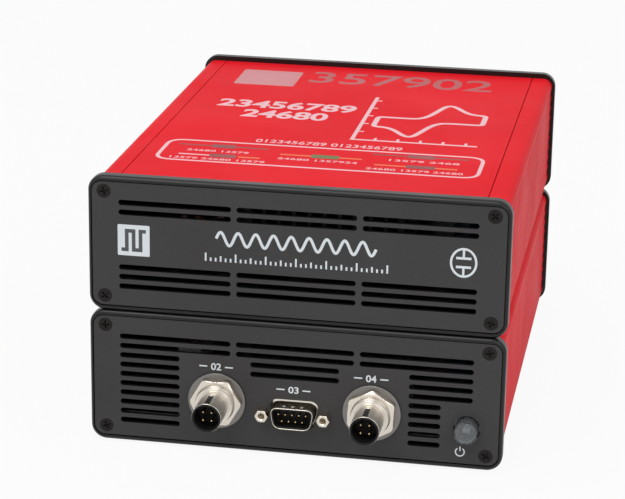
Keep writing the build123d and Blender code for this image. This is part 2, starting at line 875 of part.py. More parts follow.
# Sense connector: pressed shell with its flange behind the panel, insulator, pins and jackscrews
sense_face = spot("front", panel_recess, lower_level, 0, sense_height)
flange_back = panel_thickness + sense_flange_thickness
sense_tail = flange_back + sense_block_depth / 2
with BuildPart() as sense_shell:
    with BuildSketch(sense_face.offset(-flange_back)):
        RectangleRounded(sense_flange_width, sense_flange_height, sense_flange_corner)
        with GridLocations(sense_screw_spacing, 0, 2, 1):
            Circle(jack_stud_radius, mode=Mode.SUBTRACT)
    extrude(amount=sense_flange_thickness)
    with BuildSketch(sense_face.offset(-flange_back)):
        add(sense_outline(sense_shell_width, sense_shell_height, sense_shell_corner))
    extrude(amount=flange_back + sense_shell_reach)
    with BuildSketch(sense_face.offset(-flange_back)):
        add(
            sense_outline(
                sense_shell_width - 2 * sense_shell_wall,
                sense_shell_height - 2 * sense_shell_wall,
                sense_shell_corner - sense_shell_wall,
            )
        )
    extrude(amount=flange_back + sense_shell_reach, mode=Mode.SUBTRACT)
keep(sense_shell, "sense_connector_shell")

with BuildPart() as sense_insert:
    with BuildSketch(sense_face.offset(-flange_back - sense_block_depth)):
        with Locations((0, board_top - sense_height)):
            Rectangle(
                sense_flange_width,
                sense_flange_height / 2 + sense_height - board_top,
                align=(Align.CENTER, Align.MIN),
            )
        with GridLocations(sense_screw_spacing, 0, 2, 1):
            Circle(jack_stud_radius, mode=Mode.SUBTRACT)
    extrude(amount=sense_block_depth)
    with BuildSketch(sense_face.offset(-flange_back)):
        add(
            sense_outline(
                sense_shell_width - 2 * sense_shell_wall,
                sense_shell_height - 2 * sense_shell_wall,
                sense_shell_corner - sense_shell_wall,
            )
        )
    extrude(amount=flange_back - sense_floor)
    with BuildSketch(sense_face.offset(-sense_floor)):
        for row, count in ((1, 5), (-1, 4)):
            with Locations((0, row * sense_row_gap / 2)):
                with GridLocations(sense_pin_pitch, 0, count, 1):
                    Circle(sense_pin_radius)
    extrude(amount=-sense_tail, mode=Mode.SUBTRACT)
keep(sense_insert, "sense_connector_insert")

with BuildPart() as sense_pins:
    with BuildSketch(sense_face.offset(-sense_floor - sense_tail)):
        for row, count in ((1, 5), (-1, 4)):
            with Locations((0, row * sense_row_gap / 2)):
                with GridLocations(sense_pin_pitch, 0, count, 1):
                    Circle(sense_pin_radius)
    extrude(amount=sense_tail + sense_floor + sense_shell_reach - sense_pin_setback)
    chamfer(sense_pins.edges().filter_by(GeomType.CIRCLE).group_by(Axis.Y)[0], pin_tip)
keep(sense_pins, "sense_connector_pins")

with BuildPart() as jackscrews:
    with BuildSketch(sense_face):
        with GridLocations(sense_screw_spacing, 0, 2, 1):
            RegularPolygon(jack_flats / 2, 6, major_radius=False, rotation=30)
    extrude(amount=jack_length)
    chamfer(jackscrews.faces().sort_by(Axis.Y)[:2].edges(), jack_chamfer)
    with Locations(sense_face):
        with GridLocations(sense_screw_spacing, 0, 2, 1):
            Cylinder(jack_stud_radius, jack_stud_length, align=inwards)
    with Locations(sense_face.offset(jack_length)):
        with GridLocations(sense_screw_spacing, 0, 2, 1):
            Hole(jack_thread_radius, depth=jack_thread_depth)
keep(jackscrews, "sense_jackscrews")

# Power button: a clear cap that slides in its switch, over a lamp
button_face = spot("front", panel_recess, lower_level, button_x, button_height)
collar_front = panel_thickness + button_gap
switch_front = collar_front + button_collar_thickness + button_travel + button_gap
with BuildPart() as button_cap:
    with Locations(button_face.offset(button_reach)):
        Cylinder(button_radius, button_reach + button_skirt, align=inwards)
    fillet(button_cap.faces().sort_by(Axis.Y)[0].edges(), button_edge)
    with Locations(button_face.offset(-collar_front)):
        Cylinder(button_collar_radius, button_collar_thickness, align=inwards)
    with Locations(button_face.offset(-button_skirt)):
        Cylinder(
            button_radius - button_wall,
            button_reach + button_skirt - button_wall,
            align=outwards,
            mode=Mode.SUBTRACT,
        )
keep(button_cap, "power_button_cap")

bore_floor = button_skirt + button_travel + button_gap
with BuildPart() as switch_body:
    with BuildSketch(button_face.offset(-switch_front)):
        with Locations((0, board_top - button_height)):
            Rectangle(switch_width, switch_width, align=(Align.CENTER, Align.MIN))
    extrude(amount=-switch_depth)
    with Locations(button_face.offset(-switch_front)):
        Hole(button_radius + button_gap, depth=bore_floor - switch_front)
keep(switch_body, "power_switch_body")

with BuildPart() as lamp:
    with BuildSketch(button_face.offset(-bore_floor)):
        Rectangle(lamp_width, lamp_width)
    extrude(amount=bore_floor + button_reach - button_wall - button_travel - 2 * button_gap)
keep(lamp, "power_lamp")

# Data socket and power inlet of the lower case
usb_face = spot("rear", panel_recess, lower_level, usb_x, board_top + usb_height / 2)
with BuildPart() as usb_shell:
    with BuildSketch(usb_face):
        RectangleRounded(usb_width, usb_height, usb_corner)
    extrude(amount=-usb_depth)
    with BuildSketch(usb_face):
        RectangleRounded(usb_mouth_width, usb_mouth_height, usb_corner)
    extrude(amount=-usb_mouth_depth, mode=Mode.SUBTRACT)
keep(usb_shell, "usb_socket_shell")

with BuildPart() as usb_tongue:
    with BuildSketch(usb_face.offset(-usb_mouth_depth)):
        Rectangle(usb_tongue_width, usb_tongue_height)
    extrude(amount=usb_mouth_depth - usb_tongue_setback)
keep(usb_tongue, "usb_socket_tongue")

inlet_face = spot("rear", panel_recess, lower_level, inlet_x, inlet_height)
with BuildPart() as inlet_body:
    with Locations(inlet_face.offset(-panel_thickness)):
        Cylinder(inlet_body_radius, inlet_body_depth, align=inwards)
        Cylinder(inlet_thread_radius, panel_thickness + inlet_reach, align=outwards)
    with BuildSketch(inlet_face):
        RegularPolygon(inlet_nut_flats / 2, 6, major_radius=False)
    extrude(amount=inlet_nut_thickness)
    with Locations(inlet_face.offset(inlet_reach)):
        Hole(inlet_mouth_radius, depth=inlet_mouth_depth)
keep(inlet_body, "power_inlet_body")

with BuildPart() as inlet_pin:
    with Locations(inlet_face.offset(inlet_reach - inlet_mouth_depth)):
        Cylinder(inlet_pin_radius, inlet_pin_length, align=outwards)
keep(inlet_pin, "power_inlet_pin")

# Feet under the lower case
with BuildPart() as feet:
    with BuildSketch(Plane.XY):
        with Locations((0, case_middle)):
            with GridLocations(foot_spacing_x, foot_spacing_y, 2, 2):
                Circle(foot_radius)
    extrude(amount=lower_level - case_height / 2)
    chamfer(feet.edges().filter_by(GeomType.CIRCLE).group_by(Axis.Z)[0], foot_edge)
keep(feet, "rubber_feet")

# Spacers and screws that tie the upper case to the lower lid
lower_roof = lower_level + case_height / 2
upper_floor = upper_level - case_height / 2
with BuildPart() as spacers:
    with BuildSketch(Plane.XY.offset(lower_roof)):
        with Locations((0, case_middle)):
            with GridLocations(tie_spacing_x, tie_spacing_y, 2, 2):
                Circle(spacer_radius)
                Circle(tie_radius + tie_clearance, mode=Mode.SUBTRACT)
    extrude(amount=upper_floor - lower_roof)
keep(spacers, "stack_spacers")

with BuildPart() as ties:
    with BuildSketch(Plane.XY.offset(lower_roof - lid_thickness - tie_end)):
        with Locations((0, case_middle)):
            with GridLocations(tie_spacing_x, tie_spacing_y, 2, 2):
                Circle(tie_radius)
    extrude(amount=upper_floor + floor_wall - lower_roof + lid_thickness + tie_end)
    with BuildSketch(Plane.XY.offset(upper_floor + floor_wall)):
        with Locations((0, case_middle)):
            with GridLocations(tie_spacing_x, tie_spacing_y, 2, 2):
                Circle(tie_head_radius)
    extrude(amount=tie_head_height)
keep(ties, "stack_screws")

# Ribbon and its headers
with BuildPart() as headers:
    for level in levels.values():
        with Locations((link_x, link_y, level + board_top)):
            Box(link_header_width, link_header_depth, link_header_height, align=outwards)
keep(headers, "link_headers")

with BuildPart() as ribbon:
    with BuildSketch(Plane.XY.offset(lower_level + board_top + link_header_height)):
        with Locations((link_x, link_y)):
            Rectangle(link_width, link_thickness)
    extrude(amount=bezel_height - link_header_height)
keep(ribbon, "link_ribbon")
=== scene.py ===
"""Looks of a bench potentiostat in two stacked cases, put round its fixed CAD frame.

Lengths in the classes are millimetres in the CAD frame: +X to the right seen from the front, -Y out of the
front, +Z up, origin in the middle of the footprint. MM turns them into Blender's metres.
"""
import json
import logging
import math
from dataclasses import dataclass, field
from enum import Enum
from typing import Iterable, Sequence

import bmesh
import bpy
import numpy as np
from mathutils import Matrix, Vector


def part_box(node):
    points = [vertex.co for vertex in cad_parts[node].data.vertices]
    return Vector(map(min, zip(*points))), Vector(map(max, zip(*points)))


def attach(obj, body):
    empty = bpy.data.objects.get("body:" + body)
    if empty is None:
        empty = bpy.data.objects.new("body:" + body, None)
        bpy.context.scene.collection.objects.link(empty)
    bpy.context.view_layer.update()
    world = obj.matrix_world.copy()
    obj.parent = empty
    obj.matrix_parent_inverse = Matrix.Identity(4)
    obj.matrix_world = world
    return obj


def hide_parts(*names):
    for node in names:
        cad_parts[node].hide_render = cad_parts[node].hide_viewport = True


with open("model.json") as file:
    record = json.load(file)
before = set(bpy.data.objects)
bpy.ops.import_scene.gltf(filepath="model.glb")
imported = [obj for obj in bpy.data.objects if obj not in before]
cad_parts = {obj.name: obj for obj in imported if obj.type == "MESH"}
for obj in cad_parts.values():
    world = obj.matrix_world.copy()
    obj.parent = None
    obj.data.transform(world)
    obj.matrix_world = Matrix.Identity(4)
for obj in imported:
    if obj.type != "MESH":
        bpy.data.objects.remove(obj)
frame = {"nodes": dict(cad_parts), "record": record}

MM = 0.001
# Gap between a lining and its shell, in millimetres
FIT = 0.02
# Setback of a corner that shows as a sharp edge
SHARP = 0.02
# Points nearer than this to a radius belong to the face of that radius
TOUCH = 0.05
# Longest steps of a turned profile where it shows and where it doesn't
FINE_STEP = 0.12
COARSE_STEP = 2.0

LOG = logging.getLogger("potentiostat")

Faces = list[tuple[int, ...]]
Colour = tuple[float, float, float]


def node_box(node: str) -> tuple[np.ndarray, np.ndarray]:
    """Box of one CAD node.

    Args:
        node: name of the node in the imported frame.
    Returns:
        Lowest and highest corner in millimetres.
    """
    low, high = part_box(node)
    return np.array(low) / MM, np.array(high) / MM


# Finishes


class Grain(Enum):
    """Direction and character of the fine relief of a finish, as a stretch of its noise."""

    FINE = (1.0, 1.0, 1.0)
    ALONG_Y = (1.0, 0.03, 1.0)
    ROUND_Y = (0.05, 1.0, 0.05)
    UPRIGHT = (1.0, 1.0, 0.04)


@dataclass(frozen=True)
class PaintedShadeSpace:
    """Space where a finish gets painted shade: its colour is made dark there, standing in for the shade that
    falls inside.

    Attributes:
        centre: its middle in millimetres.
        half: half its size.
        fold: how far over and under the middle two such spaces lie, or nought for one.
    """

    centre: tuple[float, float, float]
    half: tuple[float, float, float]
    fold: float


@dataclass(frozen=True)
class Finish:
    """One surface finish.

    Attributes:
        name: name of the material.
        base: linear base colour.
        metallic: 0 for a dielectric, 1 for a metal.
        roughness: least and most roughness over the surface.
        grain: direction of the fine relief.
        grain_scale: noise cells per metre of the fine relief.
        relief: height of the fine relief in millimetres.
        tint: how far the colour wanders, as a share of it.
        coat: weight of a clear coat.
        coat_roughness: roughness of that coat.
        specular: specular level of a dielectric.
        transmission: share of light that goes through.
        turned: how far fine rings about Y stretch the highlights along Y, from 0 to 1.
        speck: colour of fine specks in the finish, or None.
        inside: space where its colour is painted dark as shade, or None.
    """

    name: str
    base: Colour
    metallic: float = 0.0
    roughness: tuple[float, float] = (0.4, 0.5)
    grain: Grain = Grain.FINE
    grain_scale: float = 2500.0
    relief: float = 0.02
    tint: float = 0.05
    coat: float = 0.0
    coat_roughness: float = 0.2
    specular: float = 0.5
    transmission: float = 0.0
    turned: float = 0.0
    speck: Colour | None = None
    inside: PaintedShadeSpace | None = None


# Painted shade: the cases' colour is made dark inside them, and the panels' colour on their edges and slot
# walls, where shade falls.
CASE_PAINTED_SHADE = PaintedShadeSpace((0.0, 8.75, 57.2), (80.4, 500.0, 24.1), 28.0)
PANEL_PAINTED_SHADE = PaintedShadeSpace((0.0, 8.75, 57.2), (500.0, 107.6, 500.0), 0.0)

SLOT_FINISHES: dict[str, Finish] = {finish.name: finish for finish in (
    Finish("red_anodised", (0.78, 0.012, 0.022), roughness=(0.36, 0.44), grain=Grain.ALONG_Y,
           grain_scale=2600, relief=0.012, tint=0.04, specular=0.012, inside=CASE_PAINTED_SHADE),
    Finish("dark_panel", (0.036, 0.034, 0.034), roughness=(0.46, 0.58), grain_scale=3200, relief=0.03,
           tint=0.08, speck=(0.085, 0.08, 0.08), specular=0.35, inside=PANEL_PAINTED_SHADE),
    Finish("black_bezel", (0.0055, 0.0052, 0.005), roughness=(0.30, 0.40), grain_scale=2200, relief=0.02,
           tint=0.1, specular=0.33),
    Finish("black_screw", (0.010, 0.0075, 0.007), metallic=0.2, roughness=(0.35, 0.5),
           grain=Grain.ROUND_Y, relief=0.01, tint=0.2, specular=0.25),
    Finish("nickel", (0.70, 0.64, 0.56), metallic=1.0, roughness=(0.15, 0.21), grain=Grain.ROUND_Y,
           grain_scale=1800, relief=0.0004, tint=0.05),
    Finish("washer_nickel", (0.21, 0.20, 0.19), metallic=1.0, roughness=(0.26, 0.36), grain_scale=1800,
           relief=0.008, tint=0.06),
    Finish("gold_pin", (0.62, 0.42, 0.22), metallic=1.0, roughness=(0.2, 0.3), relief=0.003),
    Finish("black_insert", (0.008, 0.008, 0.008), roughness=(0.38, 0.5), relief=0.015, tint=0.1,
           specular=0.22),
    Finish("clear_cap", (0.60, 0.64, 0.66), roughness=(0.015, 0.04), relief=0.002, tint=0.02,
           transmission=0.92),
    Finish("grey_lamp", (0.36, 0.365, 0.36), roughness=(0.45, 0.6), relief=0.02),
    Finish("board_black", (0.012, 0.014, 0.013), roughness=(0.3, 0.4), grain_scale=300, relief=0.02,
           tint=0.4, speck=(0.30, 0.22, 0.10)),
    Finish("heatsink_black", (0.045, 0.045, 0.047), metallic=0.4, roughness=(0.4, 0.55),
           grain=Grain.ALONG_Y, relief=0.01, tint=0.1),
    Finish("component_black", (0.02, 0.02, 0.02), roughness=(0.45, 0.6), relief=0.02),
    Finish("capacitor_sleeve", (0.02, 0.03, 0.08), roughness=(0.2, 0.3), grain=Grain.UPRIGHT,
           relief=0.006, tint=0.15),
    Finish("choke_wire", (0.34, 0.12, 0.045), metallic=0.8, roughness=(0.25, 0.4), grain=Grain.UPRIGHT,
           grain_scale=900, relief=0.25, tint=0.3),
    Finish("relay_white", (0.66, 0.66, 0.62), roughness=(0.3, 0.4), relief=0.01),
    Finish("ribbon_grey", (0.42, 0.43, 0.45), roughness=(0.4, 0.5), grain=Grain.UPRIGHT, grain_scale=800,
           relief=0.15, tint=0.1),
    Finish("foot_rubber", (0.025, 0.025, 0.025), roughness=(0.7, 0.85), grain_scale=1500, relief=0.04,
           tint=0.15),
    Finish("zinc_tie", (0.58, 0.59, 0.60), metallic=1.0, roughness=(0.25, 0.4), grain=Grain.UPRIGHT,
           relief=0.01, tint=0.1),
)}

# The barrels are turned: fine rings spread the light along the axis.
TURNED_NICKEL = Finish("turned_nickel", (0.76, 0.71, 0.64), metallic=1.0, roughness=(0.27, 0.32),
                       grain=Grain.ROUND_Y, grain_scale=1800, relief=0.0004, tint=0.04, turned=0.88)


def ink_finish(name: str, base: Colour, roughness: tuple[float, float] = (0.42, 0.5),
               tint: float = 0.05) -> Finish:
    """Finish of a thin print, fine and nearly flat.

    Args:
        name: name of the material.
        base: linear base colour.
        roughness: least and most roughness.
        tint: how far the colour wanders.
    Returns:
        The finish.
    """
    return Finish(name, base, roughness=roughness, grain_scale=4000, relief=0.004, tint=tint)


WHITE_INK = ink_finish("white_ink", (0.70, 0.745, 0.775), (0.5, 0.6), 0.04)
SIGN_INK = ink_finish("sign_ink", (0.07, 0.07, 0.075), (0.5, 0.6))
PALE_INK = ink_finish("pale_ink", (0.84, 0.49, 0.53))
FAINT_INK = ink_finish("faint_ink", (0.60, 0.20, 0.22))
DIM_INK = ink_finish("dim_ink", (0.43, 0.055, 0.06))
DARK_INK = ink_finish("dark_ink", (0.22, 0.012, 0.012), (0.4, 0.5), 0.06)
ORANGE_INK = ink_finish("orange_ink", (0.80, 0.14, 0.015))
GREEN_INK = ink_finish("green_ink", (0.09, 0.13, 0.012))


class EffectLibrary:
    """Node groups that the finishes share. They give only values, colours and normals."""

    def __init__(self) -> None:
        """Makes the groups."""
        self.relief = self._relief()
        self.painted_shade = self._painted_shade_group()
        self.spread = self._spread()
        self.tint = self._tint()

    @staticmethod
    def _group(
        name: str, inputs: Iterable[tuple[str, str]], outputs: Iterable[tuple[str, str]]
    ) -> tuple[bpy.types.NodeTree, bpy.types.Node, bpy.types.Node]:
        """Makes an empty group with its sockets.

        Args:
            name: name of the group.
            inputs: name and socket type of each input.
            outputs: name and socket type of each output.
        Returns:
            The tree, its input node and its output node.
        """
        tree = bpy.data.node_groups.new(name, "ShaderNodeTree")
        for socket, kind in inputs:
            tree.interface.new_socket(socket, in_out="INPUT", socket_type=f"NodeSocket{kind}")
        for socket, kind in outputs:
            tree.interface.new_socket(socket, in_out="OUTPUT", socket_type=f"NodeSocket{kind}")
        return tree, tree.nodes.new("NodeGroupInput"), tree.nodes.new("NodeGroupOutput")

    def _relief(self) -> bpy.types.NodeTree:
        """Fine relief: noise in stretched coordinates through a bump.

        Returns:
            Group with the outputs Normal and Mask.
        """
        tree, entry, leave = self._group(
            "fine_relief",
            [("Vector", "Vector"), ("Stretch", "Vector"), ("Scale", "Float"), ("Height", "Float")],
            [("Normal", "Vector"), ("Mask", "Float")],
        )
        stretched = tree.nodes.new("ShaderNodeVectorMath")
        stretched.operation = "MULTIPLY"
        noise = tree.nodes.new("ShaderNodeTexNoise")
        noise.inputs["Detail"].default_value = 3.0
        bump = tree.nodes.new("ShaderNodeBump")
        tree.links.new(entry.outputs["Vector"], stretched.inputs[0])
        tree.links.new(entry.outputs["Stretch"], stretched.inputs[1])
        tree.links.new(stretched.outputs["Vector"], noise.inputs["Vector"])
        tree.links.new(entry.outputs["Scale"], noise.inputs["Scale"])
        tree.links.new(noise.outputs["Fac"], bump.inputs["Height"])
        tree.links.new(entry.outputs["Height"], bump.inputs["Distance"])
        tree.links.new(bump.outputs["Normal"], leave.inputs["Normal"])
        tree.links.new(noise.outputs["Fac"], leave.inputs["Mask"])
        return tree

    def _spread(self) -> bpy.types.NodeTree:
        """A value that wanders between two ends in soft patches, as handling and wear leave it.

        Returns:
            Group with the output Value.
        """
        tree, entry, leave = self._group(
            "soft_spread",
            [("Vector", "Vector"), ("Scale", "Float"), ("Least", "Float"), ("Most", "Float")],
            [("Value", "Float")],
        )
        noise = tree.nodes.new("ShaderNodeTexNoise")
        noise.inputs["Detail"].default_value = 5.0
        noise.inputs["Distortion"].default_value = 0.6
        span = tree.nodes.new("ShaderNodeMapRange")
        span.inputs["From Min"].default_value = 0.35
        span.inputs["From Max"].default_value = 0.65
        tree.links.new(entry.outputs["Vector"], noise.inputs["Vector"])
        tree.links.new(entry.outputs["Scale"], noise.inputs["Scale"])
        tree.links.new(noise.outputs["Fac"], span.inputs["Value"])
        tree.links.new(entry.outputs["Least"], span.inputs["To Min"])
        tree.links.new(entry.outputs["Most"], span.inputs["To Max"])
        tree.links.new(span.outputs["Result"], leave.inputs["Value"])
        return tree

    def _tint(self) -> bpy.types.NodeTree:
        """A colour made lighter and darker by a factor, with specks of a second colour.

        Returns:
            Group with the output Color.
        """
        tree, entry, leave = self._group(
            "wandering_tint",
            [("Color", "Color"), ("Speck", "Color"), ("Factor", "Float"), ("Mask", "Float"),
             ("Amount", "Float")],
            [("Color", "Color")],
        )
        shade = tree.nodes.new("ShaderNodeHueSaturation")
        shade.inputs["Saturation"].default_value = 1.0
        specks = tree.nodes.new("ShaderNodeMapRange")
        specks.inputs["From Min"].default_value = 0.58
        specks.inputs["From Max"].default_value = 0.72
        share = tree.nodes.new("ShaderNodeMath")
        share.operation = "MULTIPLY"
        blend = tree.nodes.new("ShaderNodeMix")
        blend.data_type = "RGBA"
        tree.links.new(entry.outputs["Color"], shade.inputs["Color"])
        tree.links.new(entry.outputs["Factor"], shade.inputs["Value"])
        tree.links.new(entry.outputs["Mask"], specks.inputs["Value"])
        tree.links.new(specks.outputs["Result"], share.inputs[0])
        tree.links.new(entry.outputs["Amount"], share.inputs[1])
        tree.links.new(share.outputs["Value"], blend.inputs[0])
        tree.links.new(shade.outputs["Color"], blend.inputs[6])
        tree.links.new(entry.outputs["Speck"], blend.inputs[7])
        tree.links.new(blend.outputs[2], leave.inputs["Color"])
        return tree

    def _painted_shade_group(self) -> bpy.types.NodeTree:
        """Painted shade: a colour that turns dark inside a space.

        d = |p - centre|, d_z = |d_z - fold|, inside where d < half.

        Returns:
            Group with the output Color.
        """
        tree, entry, leave = self._group(
            "painted_shade_within",
            [("Color", "Color"), ("Dark", "Color"), ("Vector", "Vector"), ("Centre", "Vector"),
             ("Fold", "Vector"), ("Half", "Vector")],
            [("Color", "Color")],
        )
        flow = entry.outputs["Vector"]
        for operation, other in (("SUBTRACT", "Centre"), ("ABSOLUTE", ""), ("SUBTRACT", "Fold"),
                                 ("ABSOLUTE", ""), ("SUBTRACT", "Half")):
            step = tree.nodes.new("ShaderNodeVectorMath")
            step.operation = operation
            tree.links.new(flow, step.inputs[0])
            if other:
                tree.links.new(entry.outputs[other], step.inputs[1])
            flow = step.outputs["Vector"]
        parts = tree.nodes.new("ShaderNodeSeparateXYZ")
        tree.links.new(flow, parts.inputs["Vector"])
        most = parts.outputs["X"]
        for axis in ("Y", "Z"):
            larger = tree.nodes.new("ShaderNodeMath")
            larger.operation = "MAXIMUM"
            tree.links.new(most, larger.inputs[0])
            tree.links.new(parts.outputs[axis], larger.inputs[1])
            most = larger.outputs["Value"]
        inner = tree.nodes.new("ShaderNodeMath")
        inner.operation = "LESS_THAN"
        inner.inputs[1].default_value = 0.0
        tree.links.new(most, inner.inputs[0])
        blend = tree.nodes.new("ShaderNodeMix")
        blend.data_type = "RGBA"
        tree.links.new(inner.outputs["Value"], blend.inputs[0])
        tree.links.new(entry.outputs["Color"], blend.inputs[6])
        tree.links.new(entry.outputs["Dark"], blend.inputs[7])
        tree.links.new(blend.outputs[2], leave.inputs["Color"])
        return tree


class FinishShop:
    """Makes each finish's material once and hands it out."""

    PATCH_SCALE = 28.0
    # Painted shade: the colour that stands in for the shade inside the cases and slots.
    PAINTED_SHADE_COLOUR = (0.006, 0.006, 0.006, 1.0)

    def __init__(self) -> None:
        """Starts with the shared effects and no materials."""
        self.effects = EffectLibrary()
        self._made: dict[str, bpy.types.Material] = {}

    def material(self, finish: Finish) -> bpy.types.Material:
        """Material of a finish.

        Args:
            finish: what the surface is like.
        Returns:
            The material, made on first use.
        """
        if finish.name not in self._made:
            self._made[finish.name] = self._make(finish)
        return self._made[finish.name]

    def _effect(self, tree: bpy.types.NodeTree, group: bpy.types.NodeTree, **values) -> bpy.types.Node:
        """Puts a shared effect in a material.

        Args:
            tree: the material's tree.
            group: the effect.
            values: what its inputs are set to.
        Returns:
            The group node.
        """
        node = tree.nodes.new("ShaderNodeGroup")
        node.node_tree = group
        for name, value in values.items():
            node.inputs[name].default_value = value
        return node

    def _make(self, finish: Finish) -> bpy.types.Material:
        """Builds one material: wandering colour and roughness over a fine relief.

        Args:
            finish: what the surface is like.
        Returns:
            The new material.
        """
        material = bpy.data.materials.new(finish.name)
        material.use_nodes = True
        tree = material.node_tree
        shader = next(node for node in tree.nodes if node.type == "BSDF_PRINCIPLED")
        place = tree.nodes.new("ShaderNodeTexCoord").outputs["Object"]
        relief = self._effect(tree, self.effects.relief, Stretch=finish.grain.value, Scale=finish.grain_scale,
                              Height=finish.relief * MM)
        rough = self._effect(tree, self.effects.spread, Scale=self.PATCH_SCALE, Least=finish.roughness[0],
                             Most=finish.roughness[1])
        shade = self._effect(tree, self.effects.spread, Scale=self.PATCH_SCALE / 2, Least=1 - finish.tint,
                             Most=1 + finish.tint)
        speck = finish.speck or finish.base
        tint = self._effect(tree, self.effects.tint, Color=(*finish.base, 1), Speck=(*speck, 1),
                            Amount=0.5 if finish.speck else 0.0)
        for effect in (relief, rough, shade):
            tree.links.new(place, effect.inputs["Vector"])
        tree.links.new(shade.outputs["Value"], tint.inputs["Factor"])
        tree.links.new(relief.outputs["Mask"], tint.inputs["Mask"])
        colour = tint.outputs["Color"]
        # Painted shade: the colour is made dark inside the finish's space, where shade falls inside the cases
        # and slots.
        if finish.inside:
            painted_shade = self._effect(tree, self.effects.painted_shade, Dark=self.PAINTED_SHADE_COLOUR,
                                  Centre=[MM * value for value in finish.inside.centre],
                                  Half=[MM * value for value in finish.inside.half],
                                  Fold=(0.0, 0.0, MM * finish.inside.fold))
            tree.links.new(place, painted_shade.inputs["Vector"])
            tree.links.new(colour, painted_shade.inputs["Color"])
            colour = painted_shade.outputs["Color"]
        tree.links.new(colour, shader.inputs["Base Color"])
        tree.links.new(rough.outputs["Value"], shader.inputs["Roughness"])
        tree.links.new(relief.outputs["Normal"], shader.inputs["Normal"])
        shader.inputs["Metallic"].default_value = finish.metallic
        shader.inputs["Specular IOR Level"].default_value = finish.specular
        shader.inputs["Coat Weight"].default_value = finish.coat
        shader.inputs["Coat Roughness"].default_value = finish.coat_roughness
        shader.inputs["Transmission Weight"].default_value = finish.transmission
        if finish.turned:
            tangent = tree.nodes.new("ShaderNodeTangent")
            tangent.direction_type = "RADIAL"
            tangent.axis = "Y"
            tree.links.new(tangent.outputs["Tangent"], shader.inputs["Tangent"])
            shader.inputs["Anisotropic"].default_value = finish.turned
            shader.inputs["Anisotropic Rotation"].default_value = 0.25
        LOG.info("finish %s made", finish.name)
        return material


# Surfaces


@dataclass
class Solid:
    """A closed surface in millimetres.

    Attributes:
        points: vertices, one row each.
        faces: corner numbers of each face.
    """

    points: np.ndarray
    faces: Faces

    @staticmethod
    def joined(solids: Sequence["Solid"]) -> "Solid":
        """Puts several closed surfaces in one mesh.

        Args:
            solids: the surfaces.
        Returns:
            All of them together.
        """
        starts = np.cumsum([0] + [len(solid.points) for solid in solids])
        faces = [
            tuple(corner + int(start) for corner in face)
            for solid, start in zip(solids, starts) for face in solid.faces
        ]
        return Solid(np.concatenate([solid.points for solid in solids]), faces)


def grid_solid(rows: np.ndarray, ring: bool) -> Solid:
    """Closes a grid of points that already goes round in its second direction.

    Face (i, j) has the corners P(i, j), P(i, j+1), P(i+1, j+1) and P(i+1, j), with j taken round.

    Args:
        rows: points as (row, column, xyz).
        ring: whether the rows close on themselves too; otherwise the first and last row get a flat cap.
    Returns:
        The closed surface.
    """
    count, around = rows.shape[:2]
    index = np.arange(count * around).reshape(count, around)
    near = index if ring else index[:-1]
    far = np.roll(index, -1, axis=0) if ring else index[1:]
    quads = np.stack([near, np.roll(near, -1, axis=1), np.roll(far, -1, axis=1), far], axis=-1).reshape(-1, 4)
    faces: Faces = [tuple(quad) for quad in quads.tolist()]
    if not ring:
        faces += [tuple(index[0][::-1].tolist()), tuple(index[-1].tolist())]
    return Solid(rows.reshape(-1, 3), faces)


def softened(corners: Sequence[tuple[float, float]], radii: Sequence[float], steps: int = 5) -> np.ndarray:
    """Rounds the corners of a closed outline.

    Each corner P with neighbours in the directions u and v becomes the curve
    B(s) = (1-s)^2 (P + r u) + 2 s (1-s) P + s^2 (P + r v), for s from 0 to 1.

    Args:
        corners: points of the outline.
        radii: setback r at each corner.
        steps: points along each rounded corner.
    Returns:
        Outline as (point, 2).
    """
    at = np.array(corners, dtype=float)
    back = np.roll(at, 1, axis=0) - at
    ahead = np.roll(at, -1, axis=0) - at
    setback = np.array(radii, dtype=float)[:, None]
    start = at + back / np.linalg.norm(back, axis=1, keepdims=True) * setback
    end = at + ahead / np.linalg.norm(ahead, axis=1, keepdims=True) * setback
    s = np.linspace(0, 1, steps)[None, :, None]
    curve = (1 - s) ** 2 * start[:, None] + 2 * s * (1 - s) * at[:, None] + s**2 * end[:, None]
    return curve.reshape(-1, 2)


def resampled(outline: np.ndarray, spacing: float | np.ndarray) -> np.ndarray:
    """Adds points to a closed outline so that no step is longer than the spacing.

    Args:
        outline: points as (point, 2).
        spacing: longest step, one for all edges or one for each.
    Returns:
        Outline with even steps along each edge.
    """
    ends = np.roll(outline, -1, axis=0)
    counts = np.maximum(1, np.ceil(np.linalg.norm(ends - outline, axis=1) / spacing).astype(int))
    starts = np.repeat(outline, counts, axis=0)
    spans = np.repeat(ends - outline, counts, axis=0)
    place = np.arange(counts.sum()) - np.repeat(np.cumsum(counts) - counts, counts)
    return starts + spans * (place / np.repeat(counts, counts))[:, None]


def about_y(reach: np.ndarray, radius: np.ndarray, angles: np.ndarray, centre: Sequence[float]) -> np.ndarray:
    """Points about an axis that points out of the front.

    P(i, a) = centre + (radius cos a, -reach, radius sin a).

    Args:
        reach: distance out of the front, as (row,) or (row, angle).
        radius: distance from the axis, of the same kind.
        angles: angles in radians.
        centre: point on the axis where the reach is nought.
    Returns:
        Points as (row, angle, xyz).
    """
    shape = (len(reach), len(angles))
    reach = np.broadcast_to(reach if reach.ndim == 2 else reach[:, None], shape)
    radius = np.broadcast_to(radius if radius.ndim == 2 else radius[:, None], shape)
    out = np.stack([radius * np.cos(angles), -reach, radius * np.sin(angles)], axis=-1)
    return out + np.array(centre)


def full_turn(count: int) -> np.ndarray:
    """Angles round a full turn.

    Args:
        count: how many.
    Returns:
        The angles in radians, the last one short of a full turn.
    """
    return np.linspace(0, 2 * math.pi, count, endpoint=False)


